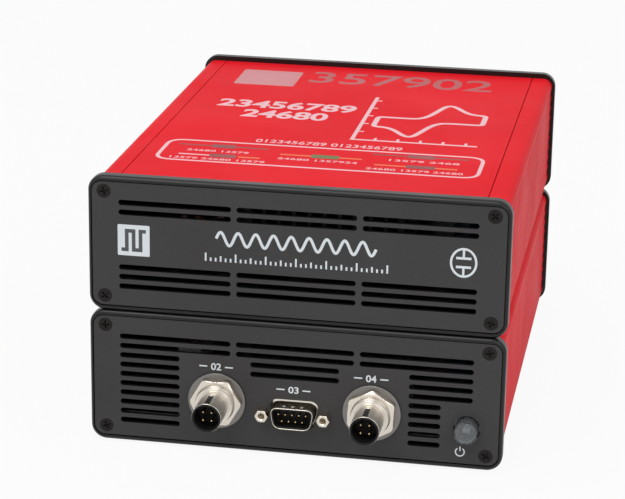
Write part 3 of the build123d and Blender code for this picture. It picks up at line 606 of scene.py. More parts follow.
def hexagon_radius(angles: np.ndarray, flats: float, turn: float) -> np.ndarray:
    """Distance from the middle of a hexagon to its edge.

    R(a) = (flats / 2) / cos(((a - turn + 30 deg) mod 60 deg) - 30 deg).

    Args:
        angles: directions in radians.
        flats: size over the flats.
        turn: direction of the middle of one flat, in degrees.
    Returns:
        The distance in each direction.
    """
    sixth = math.pi / 3
    beside = np.mod(angles - math.radians(turn) + sixth / 2, sixth) - sixth / 2
    return flats / 2 / np.cos(beside)


def turned(profile: np.ndarray, count: int, centre: Sequence[float]) -> Solid:
    """Turns a closed profile about an axis that points out of the front.

    Args:
        profile: its points (reach, radius), as (point, 2).
        count: points round the axis.
        centre: point on the axis where the reach is nought.
    Returns:
        The closed surface.
    """
    return grid_solid(about_y(profile[:, 0], profile[:, 1], full_turn(count), centre), ring=True)


def round_pin(back: float, front: float, radius: float, place: Sequence[float]) -> Solid:
    """Pin with a round tip: r(s) = radius sqrt(1 - ((s - s0) / radius)^2) past s0 = front - radius.

    Args:
        back: reach of its hidden end.
        front: reach of its tip.
        radius: its radius.
        place: point on its axis where the reach is nought.
    Returns:
        The closed surface.
    """
    turn = np.linspace(0, math.pi / 2.1, 8)
    reach = np.concatenate([[back], front - radius + radius * np.sin(turn)])
    return grid_solid(about_y(reach, np.concatenate([[radius], radius * np.cos(turn)]), full_turn(24), place),
                      ring=False)


def drawn_out(steps: Iterable[tuple[float, np.ndarray]]) -> np.ndarray:
    """Outlines across the front, set one behind the other.

    Args:
        steps: distance out of the front and outline, as (point, 2), of each.
    Returns:
        Points as (row, point, xyz).
    """
    return np.stack([
        np.stack([flat[:, 0], np.full(len(flat), -reach), flat[:, 1]], axis=-1) for reach, flat in steps
    ])


def put(name: str, solid: Solid, material: bpy.types.Material, body: str = "case",
        stands_for: Sequence[str] = (), crease: float = 32.0) -> bpy.types.Object:
    """Makes an object of a closed surface and lets it ride on a body.

    Args:
        name: name of the piece.
        solid: its surface in millimetres.
        material: its material.
        body: body that carries it.
        stands_for: CAD nodes that it is shown instead of.
        crease: edges sharper than this many degrees stay sharp.
    Returns:
        The object, at the origin.
    """
    mesh = bpy.data.meshes.new(name)
    mesh.from_pydata((solid.points * MM).tolist(), [], solid.faces)
    work = bmesh.new()
    work.from_mesh(mesh)
    bmesh.ops.recalc_face_normals(work, faces=work.faces)
    work.to_mesh(mesh)
    work.free()
    mesh.polygons.foreach_set("use_smooth", np.ones(len(mesh.polygons), dtype=bool))
    mesh.set_sharp_from_angle(angle=math.radians(crease))
    mesh.materials.append(material)
    mesh.update()
    piece = bpy.data.objects.new(name, mesh)
    bpy.context.scene.collection.objects.link(piece)
    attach(piece, body)
    if stands_for:
        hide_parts(*stands_for)
    LOG.info("%s: %d faces, on %s", name, len(mesh.polygons), body)
    return piece


# The frame's own nodes


@dataclass
class CaseHardware:
    """Finishes of the CAD nodes that are shown as they are.

    Attributes:
        shop: where materials come from.
    """

    shop: FinishShop

    def build(self) -> None:
        """Gives every CAD node the finish of its material slot."""
        slots = {part["node"]: part["material_slot"] for part in frame["record"]["subparts"]}
        for node, piece in frame["nodes"].items():
            finish = SLOT_FINISHES[slots[node]]
            if not piece.data.materials:
                piece.data.materials.append(None)
            for number in range(len(piece.data.materials)):
                piece.data.materials[number] = self.shop.material(finish)
            LOG.info("%s: finish %s", node, finish.name)


# Connectors


@dataclass
class CellConnector:
    """Round four-pin connector: turned shell, hexagon nut, washer, insert, pins and a key strip.

    Attributes:
        shop: where materials come from.
        label: start of its node names.
        nut_turn: how far its nut stands turned, in degrees.
        reach: how far it stands out of the panel.
        barrel: radius of the smooth barrel.
        neck_rise: how far the neck between collar and groove stands over the barrel.
        neck_length: length of that neck.
        groove_depth: depth of the groove in front of the neck.
        groove_length: its length.
        collar: radius of the threaded collar.
        collar_reach: how far the collar stands out.
        flange: radius of the flange behind the panel.
        flange_front: how far behind the panel's face the flange starts.
        flange_back: where it ends.
        tail: radius of the shell's tail.
        bore: radius of the shell's bore.
        rim: reach of the shell's own rim.
        lining: outer radius of the insert's lip in front of that rim.
        cavity: radius of the hollow round the pins.
        cavity_floor: reach of its floor.
        boss: radius of the raised middle of the floor.
        boss_rise: its height.
        washer: radius of the washer.
        washer_thickness: its thickness.
        nut_flats: size of the nut over its flats.
        nut_thickness: its thickness.
        nut_corner: radius over its turned corners.
        nut_chamfer: depth over which the chamfer is drawn finely.
        nut_lead: width of the lead into its thread.
        thread_pitch: pitch of the collar's thread.
        thread_depth: depth of the thread.
        thread_start: reach at which the thread starts.
        thread_runout: bare length at the collar's end.
        pin_circle: distance of the pins from the axis.
        pin_radius: radius of a pin.
        pin_reach: how far the pins reach.
        slot_width: width of the key slot.
        slot_depth: its depth.
        slot_run: length of the slot past each end of the key.
        key_rise: height of the key's ribs.
        key_back: distance from the mouth to the key's far end.
        key_front: distance from the mouth to its near end.
        segments: points round the axis.
        centre: point on its axis at the panel's face.
    """

    shop: FinishShop
    label: str
    nut_turn: float
    reach: float = 20.0
    barrel: float = 6.0
    neck_rise: float = 0.6
    neck_length: float = 0.7
    groove_depth: float = 0.35
    groove_length: float = 1.0
    collar: float = 7.6
    collar_reach: float = 7.0
    flange: float = 9.0
    flange_front: float = 2.0
    flange_back: float = 5.0
    tail: float = 7.0
    bore: float = 5.6
    rim: float = 19.75
    lining: float = 5.86
    cavity: float = 5.05
    cavity_floor: float = 11.2
    boss: float = 1.1
    boss_rise: float = 0.5
    washer: float = 11.75
    washer_thickness: float = 1.0
    nut_flats: float = 18.5
    nut_thickness: float = 3.2
    nut_corner: float = 10.38
    nut_chamfer: float = 0.8
    nut_lead: float = 0.45
    thread_pitch: float = 0.8
    thread_depth: float = 0.28
    thread_start: float = 2.0
    thread_runout: float = 0.5
    pin_circle: float = 2.45
    pin_radius: float = 0.5
    pin_reach: float = 18.2
    slot_width: float = 2.2
    slot_depth: float = 0.32
    slot_run: float = 0.2
    key_rise: float = 0.1
    key_back: float = 9.2
    key_front: float = 0.8
    segments: int = 240
    centre: np.ndarray = field(init=False)

    def __post_init__(self) -> None:
        """Takes the connector's axis and the panel's face from the frame."""
        low, high = node_box(f"{self.label}_connector_washer")
        self.centre = np.array([(low[0] + high[0]) / 2, high[1], (low[2] + high[2]) / 2])

    def shell_solid(self) -> Solid:
        """Turned shell with a threaded collar.

        The closed profile (reach, radius) is turned about the axis. On the collar the radius is
        r(s, a) = collar - depth |2 frac(s / pitch - a / 2 pi) - 1|, a single-start thread.

        Returns:
            The closed surface.
        """
        end = self.centre[1] - node_box(f"{self.label}_connector_shell")[1][1]
        neck = self.collar_reach + self.neck_length
        groove = neck + self.groove_length
        raised, sunk = self.barrel + self.neck_rise, self.barrel - self.groove_depth
        front = softened(
            [(end, self.bore), (self.rim, self.bore), (self.rim, self.barrel), (groove, self.barrel),
             (groove, sunk), (neck, sunk), (neck, raised), (self.collar_reach, raised),
             (self.collar_reach, self.collar), (-self.flange_front, self.collar),
             (-self.flange_front, self.flange), (-self.flange_back, self.flange),
             (-self.flange_back, self.tail), (end, self.tail)],
            [SHARP, 0.05, 0.3, 0.1, 0.05, 0.05, 0.15, 0.1, 0.45, SHARP, SHARP, SHARP, SHARP, SHARP],
        )
        inner_end = np.minimum(front[:, 1], np.roll(front[:, 1], -1))
        shown = (inner_end > self.bore + 0.2) & (front[:, 0] > -self.flange_front - 0.1)
        profile = resampled(front, np.where(shown, FINE_STEP, COARSE_STEP))
        angles = full_turn(self.segments)
        reach, radius = profile[:, :1], np.broadcast_to(profile[:, 1:], (len(profile), len(angles)))
        wave = np.mod(reach / self.thread_pitch - angles / (2 * math.pi), 1.0)
        along = (reach > self.thread_start) & (reach < self.collar_reach - self.thread_runout)
        threaded = (np.abs(radius - self.collar) < TOUCH) & along
        depth = np.where(threaded, self.thread_depth * np.abs(2 * wave - 1), 0.0)
        depth = depth + self.key_slot(reach, radius, angles)
        return grid_solid(about_y(profile[:, 0], radius - depth, angles, self.centre), ring=True)

    def insert_solid(self) -> Solid:
        """Turned insulator: a lining whose lip covers the barrel's rim, with a raised middle on its floor.

        Returns:
            The closed surface.
        """
        end = self.centre[1] - node_box(f"{self.label}_connector_insert")[1][1]
        middle, boss_top = 0.05, self.cavity_floor + self.boss_rise
        profile = softened(
            [(end, middle), (end, self.bore - FIT), (self.rim + FIT, self.bore - FIT),
             (self.rim + FIT, self.lining), (self.reach, self.lining), (self.reach, self.cavity),
             (self.cavity_floor, self.cavity), (self.cavity_floor, self.boss), (boss_top, self.boss - 0.2),
             (boss_top, middle)],
            [0.01, SHARP, SHARP, SHARP, 0.12, 0.2, 0.1, 0.1, 0.1, 0.01],
        )
        return turned(profile, self.segments, self.centre)

    def key_slot(self, reach: np.ndarray, radius: np.ndarray, angles: np.ndarray) -> np.ndarray:
        """Depth of the ribbed key slot on top of the barrel.

        d(s, a) = depth e(s) e(x) (0.7 + 0.3 cos(6 pi x / w)), x = radius (pi / 2 - a), e being soft steps at
        the slot's ends and sides.

        Args:
            reach: distance out of the front of each profile point.
            radius: distance from the axis before the slot.
            angles: directions in radians.
        Returns:
            Depth at each point of the barrel's outside, nought elsewhere.
        """
        across = self.barrel * (math.pi / 2 - angles)[None, :]
        side = np.clip((self.slot_width / 2 - np.abs(across)) / 0.12, 0, 1)
        inward = self.reach - reach
        ends = (np.clip((self.key_back + self.slot_run - inward) / self.slot_run, 0, 1)
                * np.clip((inward - self.key_front + self.slot_run) / self.slot_run, 0, 1))
        ribs = 0.7 + 0.3 * np.cos(6 * math.pi * across / self.slot_width)
        return self.slot_depth * side * ends * ribs * (np.abs(radius - self.barrel) < TOUCH)

    def key_solid(self) -> Solid:
        """Ribbed dark key that fills the slot, a closed strip bent about the barrel's axis.

        Its outer face is r(x) = barrel + rise (0.5 + 0.5 cos(6 pi x / w)), x going across the slot.

        Returns:
            The closed surface.
        """
        bevel = 0.1
        across = np.linspace(-0.5, 0.5, 43) * (self.slot_width - bevel)
        ribs = 0.5 + 0.5 * np.cos(6 * math.pi * across / self.slot_width)
        top = self.barrel - FIT + self.key_rise * ribs
        radius = np.concatenate([top, np.full(len(across), self.barrel - self.slot_depth / 2)])
        angles = math.pi / 2 - np.concatenate([across, across[::-1]]) / self.barrel
        inward = np.array([self.key_back, self.key_back - bevel, self.key_front + bevel, self.key_front])
        reach = np.broadcast_to((self.reach - inward)[:, None], (len(inward), len(angles)))
        lower = np.array([0.12, 0.0, 0.0, 0.12])[:, None] * (radius > self.barrel - bevel)
        return grid_solid(about_y(reach, radius - lower, angles, self.centre), ring=False)

    def nut_solid(self) -> Solid:
        """Hexagon nut whose corners are turned off by a cone on both faces.

        R(a, h) = min(hexagon(a), corner, cone + 1.73 d), d being the distance to the nearer face.

        Returns:
            The closed surface.
        """
        angles = full_turn(6 * 40)
        top, chamfer = self.nut_thickness, self.nut_chamfer
        height = np.concatenate([
            np.linspace(0, chamfer, 9), np.linspace(chamfer + 0.1, top - chamfer - 0.1, 5),
            np.linspace(top - chamfer, top, 9),
        ])
        cone = self.nut_flats / 2 - 0.15 + math.sqrt(3) * np.minimum(height, top - height)[:, None]
        edge = hexagon_radius(angles, self.nut_flats, self.nut_turn)[None, :]
        outer = np.minimum(np.minimum(edge, self.nut_corner), cone)
        inner = np.full((1, len(angles)), self.collar + FIT)
        lead = np.full((1, len(angles)), self.collar + self.nut_lead)
        radius = np.concatenate([inner, outer, lead, inner])
        reach = self.washer_thickness + np.concatenate([[0.0], height, [top], [top - 0.4]])
        return grid_solid(about_y(reach, radius, angles, self.centre), ring=True)

    def washer_solid(self) -> Solid:
        """Flat washer with rolled edges, a turned closed profile.

        Returns:
            The closed surface.
        """
        face = self.washer_thickness
        profile = softened([(0, self.collar), (face, self.collar), (face, self.washer), (0, self.washer)],
                           [SHARP, 0.15, 0.3, 0.1])
        return turned(profile, self.segments, self.centre)

    def pins_solid(self) -> Solid:
        """Four pins, evenly round the axis.

        Returns:
            The closed surfaces.
        """
        back = self.centre[1] - node_box(f"{self.label}_connector_pins")[1][1]
        turns = np.radians([45, 135, 225, 315])
        return Solid.joined([
            round_pin(back, self.pin_reach, self.pin_radius,
                      self.centre + self.pin_circle * np.array([math.cos(turn), 0, math.sin(turn)]))
            for turn in turns
        ])

    def build(self) -> None:
        """Puts the connector's pieces in the scene."""
        for part, solid, slot, finish in (
            ("shell", self.shell_solid(), "nickel", TURNED_NICKEL),
            ("nut", self.nut_solid(), "nickel", None),
            ("washer", self.washer_solid(), "washer_nickel", None),
            ("pins", self.pins_solid(), "gold_pin", None),
            ("insert", self.insert_solid(), "black_insert", None),
        ):
            node = f"{self.label}_connector_{part}"
            put(f"{node}_turned", solid, self.shop.material(finish or SLOT_FINISHES[slot]),
                stands_for=[node])
        put(f"{self.label}_connector_key_moulded", self.key_solid(),
            self.shop.material(SLOT_FINISHES["black_insert"]))


@dataclass
class SenseConnector:
    """Nine-pin D connector: pressed shell with dimples and flange, liner, pins and two jackscrews.

    Attributes:
        shop: where materials come from.
        width: width of the shell's outline at its top.
        height: its height.
        reach: how far the shell stands out of the panel.
        wall: thickness of its wall.
        corner: setback of its corners.
        slant: lean of its sides, in degrees.
        shell_back: reach of its hidden end.
        dimple_pitch: distance between its dimples.
        dimple_reach: their reach.
        dimple_size: their half sizes across the front and out of it.
        dimple_depth: their depth.
        flange_width: width of the flange behind the panel.
        flange_height: its height.
        flange_face: reach of its front.
        lip: thickness of the liner's lip with the shell's wall.
        lip_depth: how far the lip stays behind the shell's rim.
        pin_size: size of a pin's box in the frame.
        pin_radius: radius of a pin.
        screw_spacing: distance between the jackscrews.
        screw_flats: size of their heads over the flats.
        screw_length: length of their heads.
        screw_chamfer: depth over which their chamfer is drawn finely.
        screw_hole: radius of their holes.
        screw_lead: width and depth of the lead into the hole.
        hole_depth: depth of the hole.
        hole_pitch: pitch of its thread.
        hole_ridge: height of its thread.
        stud: radius of the stud behind the head.
        stud_length: its length.
        centre: middle of the shell at the panel's face.
    """

    shop: FinishShop
    width: float = 18.0
    height: float = 9.0
    reach: float = 5.6
    wall: float = 0.4
    corner: float = 3.3
    slant: float = 10.0
    shell_back: float = -2.8
    dimple_pitch: float = 3.6
    dimple_reach: float = 2.9
    dimple_size: tuple[float, float] = (0.85, 0.5)
    dimple_depth: float = 0.5
    flange_width: float = 30.8
    flange_height: float = 12.5
    flange_face: float = -2.0
    lip: float = 0.6
    lip_depth: float = 0.2
    pin_size: float = 1.0
    pin_radius: float = 0.38
    screw_spacing: float = 25.0
    screw_flats: float = 4.75
    screw_length: float = 5.0
    screw_chamfer: float = 0.6
    screw_hole: float = 1.35
    screw_lead: float = 0.25
    hole_depth: float = 4.5
    hole_pitch: float = 0.64
    hole_ridge: float = 0.16
    stud: float = 1.38
    stud_length: float = 8.0
    centre: np.ndarray = field(init=False)

    def __post_init__(self) -> None:
        """Takes the connector's middle and the panel's face from the frame."""
        low, high = node_box("sense_connector_shell")
        panel = node_box("lower_front_panel")[0][1]
        self.centre = np.array([0.0, panel, (low[2] + high[2]) / 2])

    def outline(self, inset: float) -> np.ndarray:
        """D outline: a trapezium that narrows downwards, with soft corners.

        Args:
            inset: how far inside the shell's outer face.
        Returns:
            Points as (point, 2), the same number for every inset.
        """
        half_width, half_height = self.width / 2 - inset, self.height / 2 - inset
        lean = 2 * half_height * math.tan(math.radians(self.slant))
        corners = [(-half_width, half_height), (half_width, half_height), (half_width - lean, -half_height),
                   (lean - half_width, -half_height)]
        soft = softened(corners, [self.corner - inset] * 4, steps=9)
        return self.divided(soft)

    @staticmethod
    def divided(soft: np.ndarray) -> np.ndarray:
        """Divides a soft-cornered outline of four edges, its straight edges finer than its corners.

        Args:
            soft: points of the outline, the same number at each corner.
        Returns:
            Points as (point, 2).
        """
        corner = len(soft) // 4
        steps = [48 if i % corner == corner - 1 else 2 for i in range(len(soft))]
        ahead = np.roll(soft, -1, axis=0)
        return np.concatenate([
            np.linspace(start, end, count, endpoint=False) for start, end, count in zip(soft, ahead, steps)
        ])

    def shell_solid(self) -> Solid:
        """Pressed shell: the D outline carried along a profile of (reach, inset).

        Dimples sink into the top and bottom walls by depth exp(-(x - x_k)^2 / a^2 - (y - y_k)^2 / b^2).

        Returns:
            The closed surface.
        """
        outer = [(reach, 0.0) for reach in np.linspace(self.shell_back, self.reach - 0.4, 44)]
        arc, bend = np.linspace(0.2, math.pi, 8), 0.25
        rim = [(self.reach - bend + bend * math.sin(a), self.wall / 2 * (1 - math.cos(a))) for a in arc]
        profile = outer + rim + [(1.0, self.wall), (self.shell_back, self.wall)]
        points = drawn_out([(reach, self.outline(inset)) for reach, inset in profile])
        half_across, half_out = self.dimple_size
        for x in (-self.dimple_pitch, 0.0, self.dimple_pitch):
            for side in (1, -1):
                across = (points[..., 0] - x) / half_across
                out = (points[..., 1] + self.dimple_reach) / half_out
                facing = np.clip((side * points[..., 2] - self.height / 2 + 0.9) / 0.4, 0, 1)
                points[..., 2] -= side * facing * self.dimple_depth * np.exp(-(across**2 + out**2))
        return grid_solid(points + self.centre, ring=True)

    def liner_solid(self) -> Solid:
        """Lip of the insulator that lines the shell, the D outline carried along a closed profile.

        Returns:
            The closed surface.
        """
        near, far = self.wall + FIT, self.wall + self.lip
        root, front, bevel = 1.0, self.reach - self.lip_depth, 0.1
        profile = [(root, near), (front - bevel, near), (front, near + bevel), (front, far - bevel),
                   (front - bevel, far), (root, far)]
        points = drawn_out([(reach, self.outline(inset)) for reach, inset in profile])
        return grid_solid(points + self.centre, ring=True)

    def pins_solid(self) -> Solid:
        """Nine pins with round tips, five above four.

        Returns:
            The closed surfaces.
        """
        low, high = node_box("sense_connector_pins")
        back, front = self.centre[1] - high[1], self.centre[1] - low[1]
        across = (high[0] - low[0] - self.pin_size) / 4
        up = (high[2] - low[2] - self.pin_size) / 2
        middle = (low[2] + high[2]) / 2
        pins = []
        for number in range(9):
            above = number < 5
            column = number - 2 if above else number - 6.5
            place = (self.centre[0] + across * column, self.centre[1], middle + (up if above else -up))
            pins.append(round_pin(back, front, self.pin_radius, place))
        return Solid.joined(pins)

    def flange_solid(self) -> Solid:
        """Pressed flange behind the panel, a soft-cornered plate round the shell with a rolled root.

        Returns:
            The closed surface.
        """
        half_width, half_height = self.flange_width / 2, self.flange_height / 2
        soft = softened([(-half_width, half_height), (half_width, half_height), (half_width, -half_height),
                         (-half_width, -half_height)], [1.0] * 4, steps=9)
        face, inside, outside = self.flange_face, self.outline(FIT), self.divided(soft)
        points = drawn_out([
            (self.shell_back, inside), (face + 0.4, inside), (face + 0.15, self.outline(-0.25)),
            (face, self.outline(-0.6)), (face, outside), (self.shell_back, outside),
        ])
        return grid_solid(points + self.centre, ring=True)

    def screw_solid(self, side: int) -> Solid:
        """Hexagon jackscrew with a chamfered end and a threaded hole, on a stud.

        R(a, h) = min(hexagon(a), cone + 1.2 d), d being the distance to the outer face.

        Args:
            side: -1 for the left one, 1 for the right one.
        Returns:
            The closed surface.
        """
        angles = full_turn(6 * 24)
        top = self.screw_length
        height = np.concatenate([[0.0], np.linspace(top - self.screw_chamfer, top, 8)])
        cone = self.screw_flats / 2 - 0.05 + 1.2 * (top - height)[:, None]
        outer = np.minimum(hexagon_radius(angles, self.screw_flats, 90.0)[None, :], cone)
        depth = np.linspace(self.screw_lead, self.hole_depth, 60)
        ridges = self.screw_hole - self.hole_ridge * np.abs(2 * np.mod(depth / self.hole_pitch, 1.0) - 1)
        hole = np.broadcast_to(ridges[:, None], (len(depth), len(angles)))
        lead = np.full((1, len(angles)), self.screw_hole + self.screw_lead)
        stud = np.full((2, len(angles)), self.stud)
        radius = np.concatenate([stud, outer, lead, hole])
        reach = np.concatenate([[-self.stud_length, 0.0], height, [top], top - depth])
        place = self.centre + np.array([side * self.screw_spacing / 2, 0.0, 0.0])
        return grid_solid(about_y(reach, radius, angles, place), ring=False)

    def build(self) -> None:
        """Puts the shell with its flange and the jackscrews in the scene."""
        nickel = self.shop.material(SLOT_FINISHES["nickel"])
        shell = Solid.joined([self.shell_solid(), self.flange_solid()])
        put("sense_connector_shell_pressed", shell, nickel, stands_for=["sense_connector_shell"])
        black, gold = (self.shop.material(SLOT_FINISHES[slot]) for slot in ("black_insert", "gold_pin"))
        put("sense_connector_liner_moulded", self.liner_solid(), black)
        put("sense_connector_pins_turned", self.pins_solid(), gold,
            stands_for=["sense_connector_pins"])
        screws = Solid.joined([self.screw_solid(-1), self.screw_solid(1)])
        put("sense_jackscrews_turned", screws, nickel, stands_for=["sense_jackscrews"])


@dataclass
class PowerButton:
    """Clear cap of the lit power button, with grip notches in its rim, and the lamp behind it.

    Attributes:
        shop: where materials come from.
        radius: radius of the cap.
        wall: thickness of its rim and its face.
        reach: distance of its face from the plane where its profile has nought.
        notch_depth: depth of the grip notches.
        notch_spread: how wide they are, in degrees.
        lamp_height: height of the lamp's oblong.
        notches: directions of the notches, in degrees.
    """

    shop: FinishShop
    radius: float = 4.7
    wall: float = 0.8
    reach: float = 5.6
    notch_depth: float = 0.45
    notch_spread: float = 9.0
    lamp_height: float = 1.7
    notches: tuple[float, ...] = (0.0, 90.0, 180.0, 270.0)

    def cap_solid(self) -> Solid:
        """Cap with a dished face, a soft rim, and a collar that the panel holds back.

        The rim's radius is r(a) = radius - depth sum_k exp(-((a - a_k) / w)^2).

        Returns:
            The closed surface.
        """
        low, high = node_box("power_button_cap")
        middle = (low + high) / 2
        front = low[1] + self.reach
        skirt = high[1] - front
        inner = self.radius - self.wall
        groove, groove_front, groove_back = 5.8, -2.3, -3.1
        profile = softened(
            [(self.reach, 0.05), (self.reach, self.radius), (groove_front, self.radius),
             (groove_front, groove), (groove_back, groove), (groove_back, self.radius),
             (-skirt, self.radius), (-skirt, inner), (self.reach - self.wall, inner),
             (self.reach - self.wall, 0.05)],
            [0.01, 0.45, SHARP, SHARP, SHARP, SHARP, 0.05, 0.05, 0.3, 0.01], steps=8,
        )
        profile = resampled(profile, 0.25)
        angles = full_turn(180)
        away = np.degrees(angles)[None, :, None] - np.array(self.notches)
        away = (away + 180) % 360 - 180
        grip = np.exp(-((away / self.notch_spread) ** 2)).sum(axis=-1)
        reach = profile[:, :1]
        radius = np.broadcast_to(profile[:, 1:], (len(profile), len(angles)))
        grip_start, grip_run = 2.5, 1.5
        dish_depth, dish_radius = 0.25, 3.6
        outside = (np.clip((radius - inner - 0.2) / 0.4, 0, 1)
                   * np.clip((reach - grip_start) / grip_run, 0, 1))
        dish = dish_depth * np.clip(1 - (radius / dish_radius) ** 2, 0, 1) * (reach > self.reach - 0.1)
        notched = radius - self.notch_depth * grip * outside
        return grid_solid(about_y(reach - dish, notched, angles, (middle[0], front, middle[2])), ring=True)

    def lamp_solid(self) -> Solid:
        """Flat lamp lens, a soft-cornered oblong drawn out from the switch, with a bevelled face.

        Returns:
            The closed surface.
        """
        low, high = node_box("power_lamp")
        centre, half_width = (low + high) / 2, (high[0] - low[0]) / 2
        rows, bevel = [], 0.3
        for depth, inset in ((high[1], 0.0), (low[1] + bevel, 0.0), (low[1], bevel)):
            across, up = half_width - inset, self.lamp_height / 2 - inset
            flat = softened([(-across, up), (across, up), (across, -up), (-across, -up)], [0.25] * 4)
            rows.append((-depth, flat))
        return grid_solid(drawn_out(rows) + np.array([centre[0], 0.0, centre[2]]), ring=False)

    def build(self) -> None:
        """Puts the cap and the lamp in the scene."""
        put("power_lamp_moulded", self.lamp_solid(), self.shop.material(SLOT_FINISHES["grey_lamp"]),
            stands_for=["power_lamp"])
        put("power_button_cap_moulded", self.cap_solid(), self.shop.material(SLOT_FINISHES["clear_cap"]),
            body="power_button", stands_for=["power_button_cap"])


# Print


class Side(Enum):
    """Which flat face a print lies on."""

    FRONT = "front"
    LID = "lid"


@dataclass
class PrintLayer:
    """Thin ink on one flat face, drawn in the face's own millimetres.

    On the front, (u, v) is (across, up from the module's middle). On the lid it is (across, back from the
    front panel's plane).

    Attributes:
        name: name of the piece.
        side: which face it lies on.
        node: CAD node that carries it.
        ink: its finish.
        lift: height of the ink's underside over the face.
        thickness: thickness of the ink.
        parts: closed surfaces drawn so far.
    """

    name: str
    side: Side
    node: str
    ink: Finish
    lift: float = 0.004
    thickness: float = 0.02
    parts: list[Solid] = field(default_factory=list)

    def place(self, flat: np.ndarray, level: np.ndarray) -> np.ndarray:
        """Takes points from the face's own millimetres into the CAD frame.

        Args:
            flat: places (u, v) on the face, as (..., 2).
            level: heights over the face, as (...).
        Returns:
            Points as (..., xyz).
        """
        low, high = node_box(self.node)
        level = level + self.lift
        if self.side is Side.FRONT:
            return np.stack([flat[..., 0], low[1] - level, flat[..., 1] + (low[2] + high[2]) / 2], axis=-1)
        panel = node_box("upper_front_panel")[0][1]
        return np.stack([flat[..., 0], panel + flat[..., 1], high[2] + level], axis=-1)

    def fill(self, outline: np.ndarray) -> None:
        """Adds a filled shape.

        Args:
            outline: its closed outline, as (point, 2).
        """
        flat = np.stack([outline, outline])
        level = np.array([[0.0], [self.thickness]]) * np.ones(len(outline))
        self.parts.append(grid_solid(self.place(flat, level), ring=False))

    def stroke(self, path: np.ndarray, width: float, closed: bool = False) -> None:
        """Adds a line of even width w with mitred turns.

        Each point p becomes p - m w/2 and p + m w/2, m = (a + b) / (1 + a.b), a and b being the unit
        normals of the runs before and after it.

        Args:
            path: points along the line, as (point, 2).
            width: width of the line.
            closed: whether the line ends where it starts.
        """
        path = np.asarray(path, dtype=float)
        runs = np.roll(path, -1, axis=0) - path
        if not closed:
            runs[-1] = runs[-2]
        normals = np.stack([-runs[:, 1], runs[:, 0]], axis=-1) / np.linalg.norm(runs, axis=1, keepdims=True)
        before = np.roll(normals, 1, axis=0)
        if not closed:
            before[0] = normals[0]
        turn = np.maximum(1 + (before * normals).sum(axis=1, keepdims=True), 0.35)
        across = (before + normals) / turn * width / 2
        flat = np.stack([path - across, path + across, path + across, path - across], axis=1)
        level = np.array([0.0, 0.0, 1.0, 1.0]) * self.thickness * np.ones((len(path), 1))
        self.parts.append(grid_solid(self.place(flat, level), ring=closed))

    def box(self, left: float, right: float, low: float, high: float, soft: float = 0.0) -> None:
        """Adds a filled box.

        Args:
            left: least u.
            right: most u.
            low: least v.
            high: most v.
            soft: setback of its rounded corners.
        """
        corners = [(left, low), (right, low), (right, high), (left, high)]
        self.fill(softened(corners, [soft] * 4) if soft else np.array(corners))

    def frame(self, left: float, right: float, low: float, high: float, soft: float, width: float) -> None:
        """Adds the outline of a box with round corners.

        Args:
            left: least u of the line's middle.
            right: most u.
            low: least v.
            high: most v.
            soft: setback of the corners.
            width: width of the line.
        """
        corners = [(left, low), (right, low), (right, high), (left, high)]
        self.stroke(softened(corners, [soft] * 4, steps=9), width, closed=True)

    def numerals(self, text: str, left: float, right: float, low: float, high: float,
                 bold: float = 0.012) -> None:
        """Adds plain digits that fill a box.

        Args:
            text: digits and blanks only.
            left: least u.
            right: most u.
            low: least v.
            high: most v.
            bold: how far the strokes are widened, in text sizes.
        """
        curve = bpy.data.curves.new("digits", "FONT")
        curve.body = text
        curve.extrude = 0.5
        curve.offset = bold
        curve.resolution_u = 6
        holder = bpy.data.objects.new("digits", curve)
        bpy.context.scene.collection.objects.link(holder)
        bpy.context.view_layer.update()
        mesh = bpy.data.meshes.new_from_object(holder.evaluated_get(bpy.context.evaluated_depsgraph_get()))
        work = bmesh.new()
        work.from_mesh(mesh)
        bmesh.ops.remove_doubles(work, verts=work.verts, dist=1e-5)
        work.to_mesh(mesh)
        work.free()
        points = np.empty(len(mesh.vertices) * 3)
        mesh.vertices.foreach_get("co", points)
        points = points.reshape(-1, 3)
        faces: Faces = [tuple(face.vertices) for face in mesh.polygons]
        bpy.data.objects.remove(holder)
        bpy.data.curves.remove(curve)
        bpy.data.meshes.remove(mesh)
        least, most = points[:, :2].min(axis=0), points[:, :2].max(axis=0)
        flat = (points[:, :2] - least) / (most - least) * [right - left, high - low] + [left, low]
        self.parts.append(Solid(self.place(flat, (points[:, 2] > 0) * self.thickness), faces))

    def build(self, shop: FinishShop, slot: str) -> None:
        """Puts the ink in the scene as one piece.

        Args:
            shop: where materials come from.
            slot: material slot of the face that it is printed on; not used.
        """
        put(self.name, Solid.joined(self.parts), shop.material(self.ink))


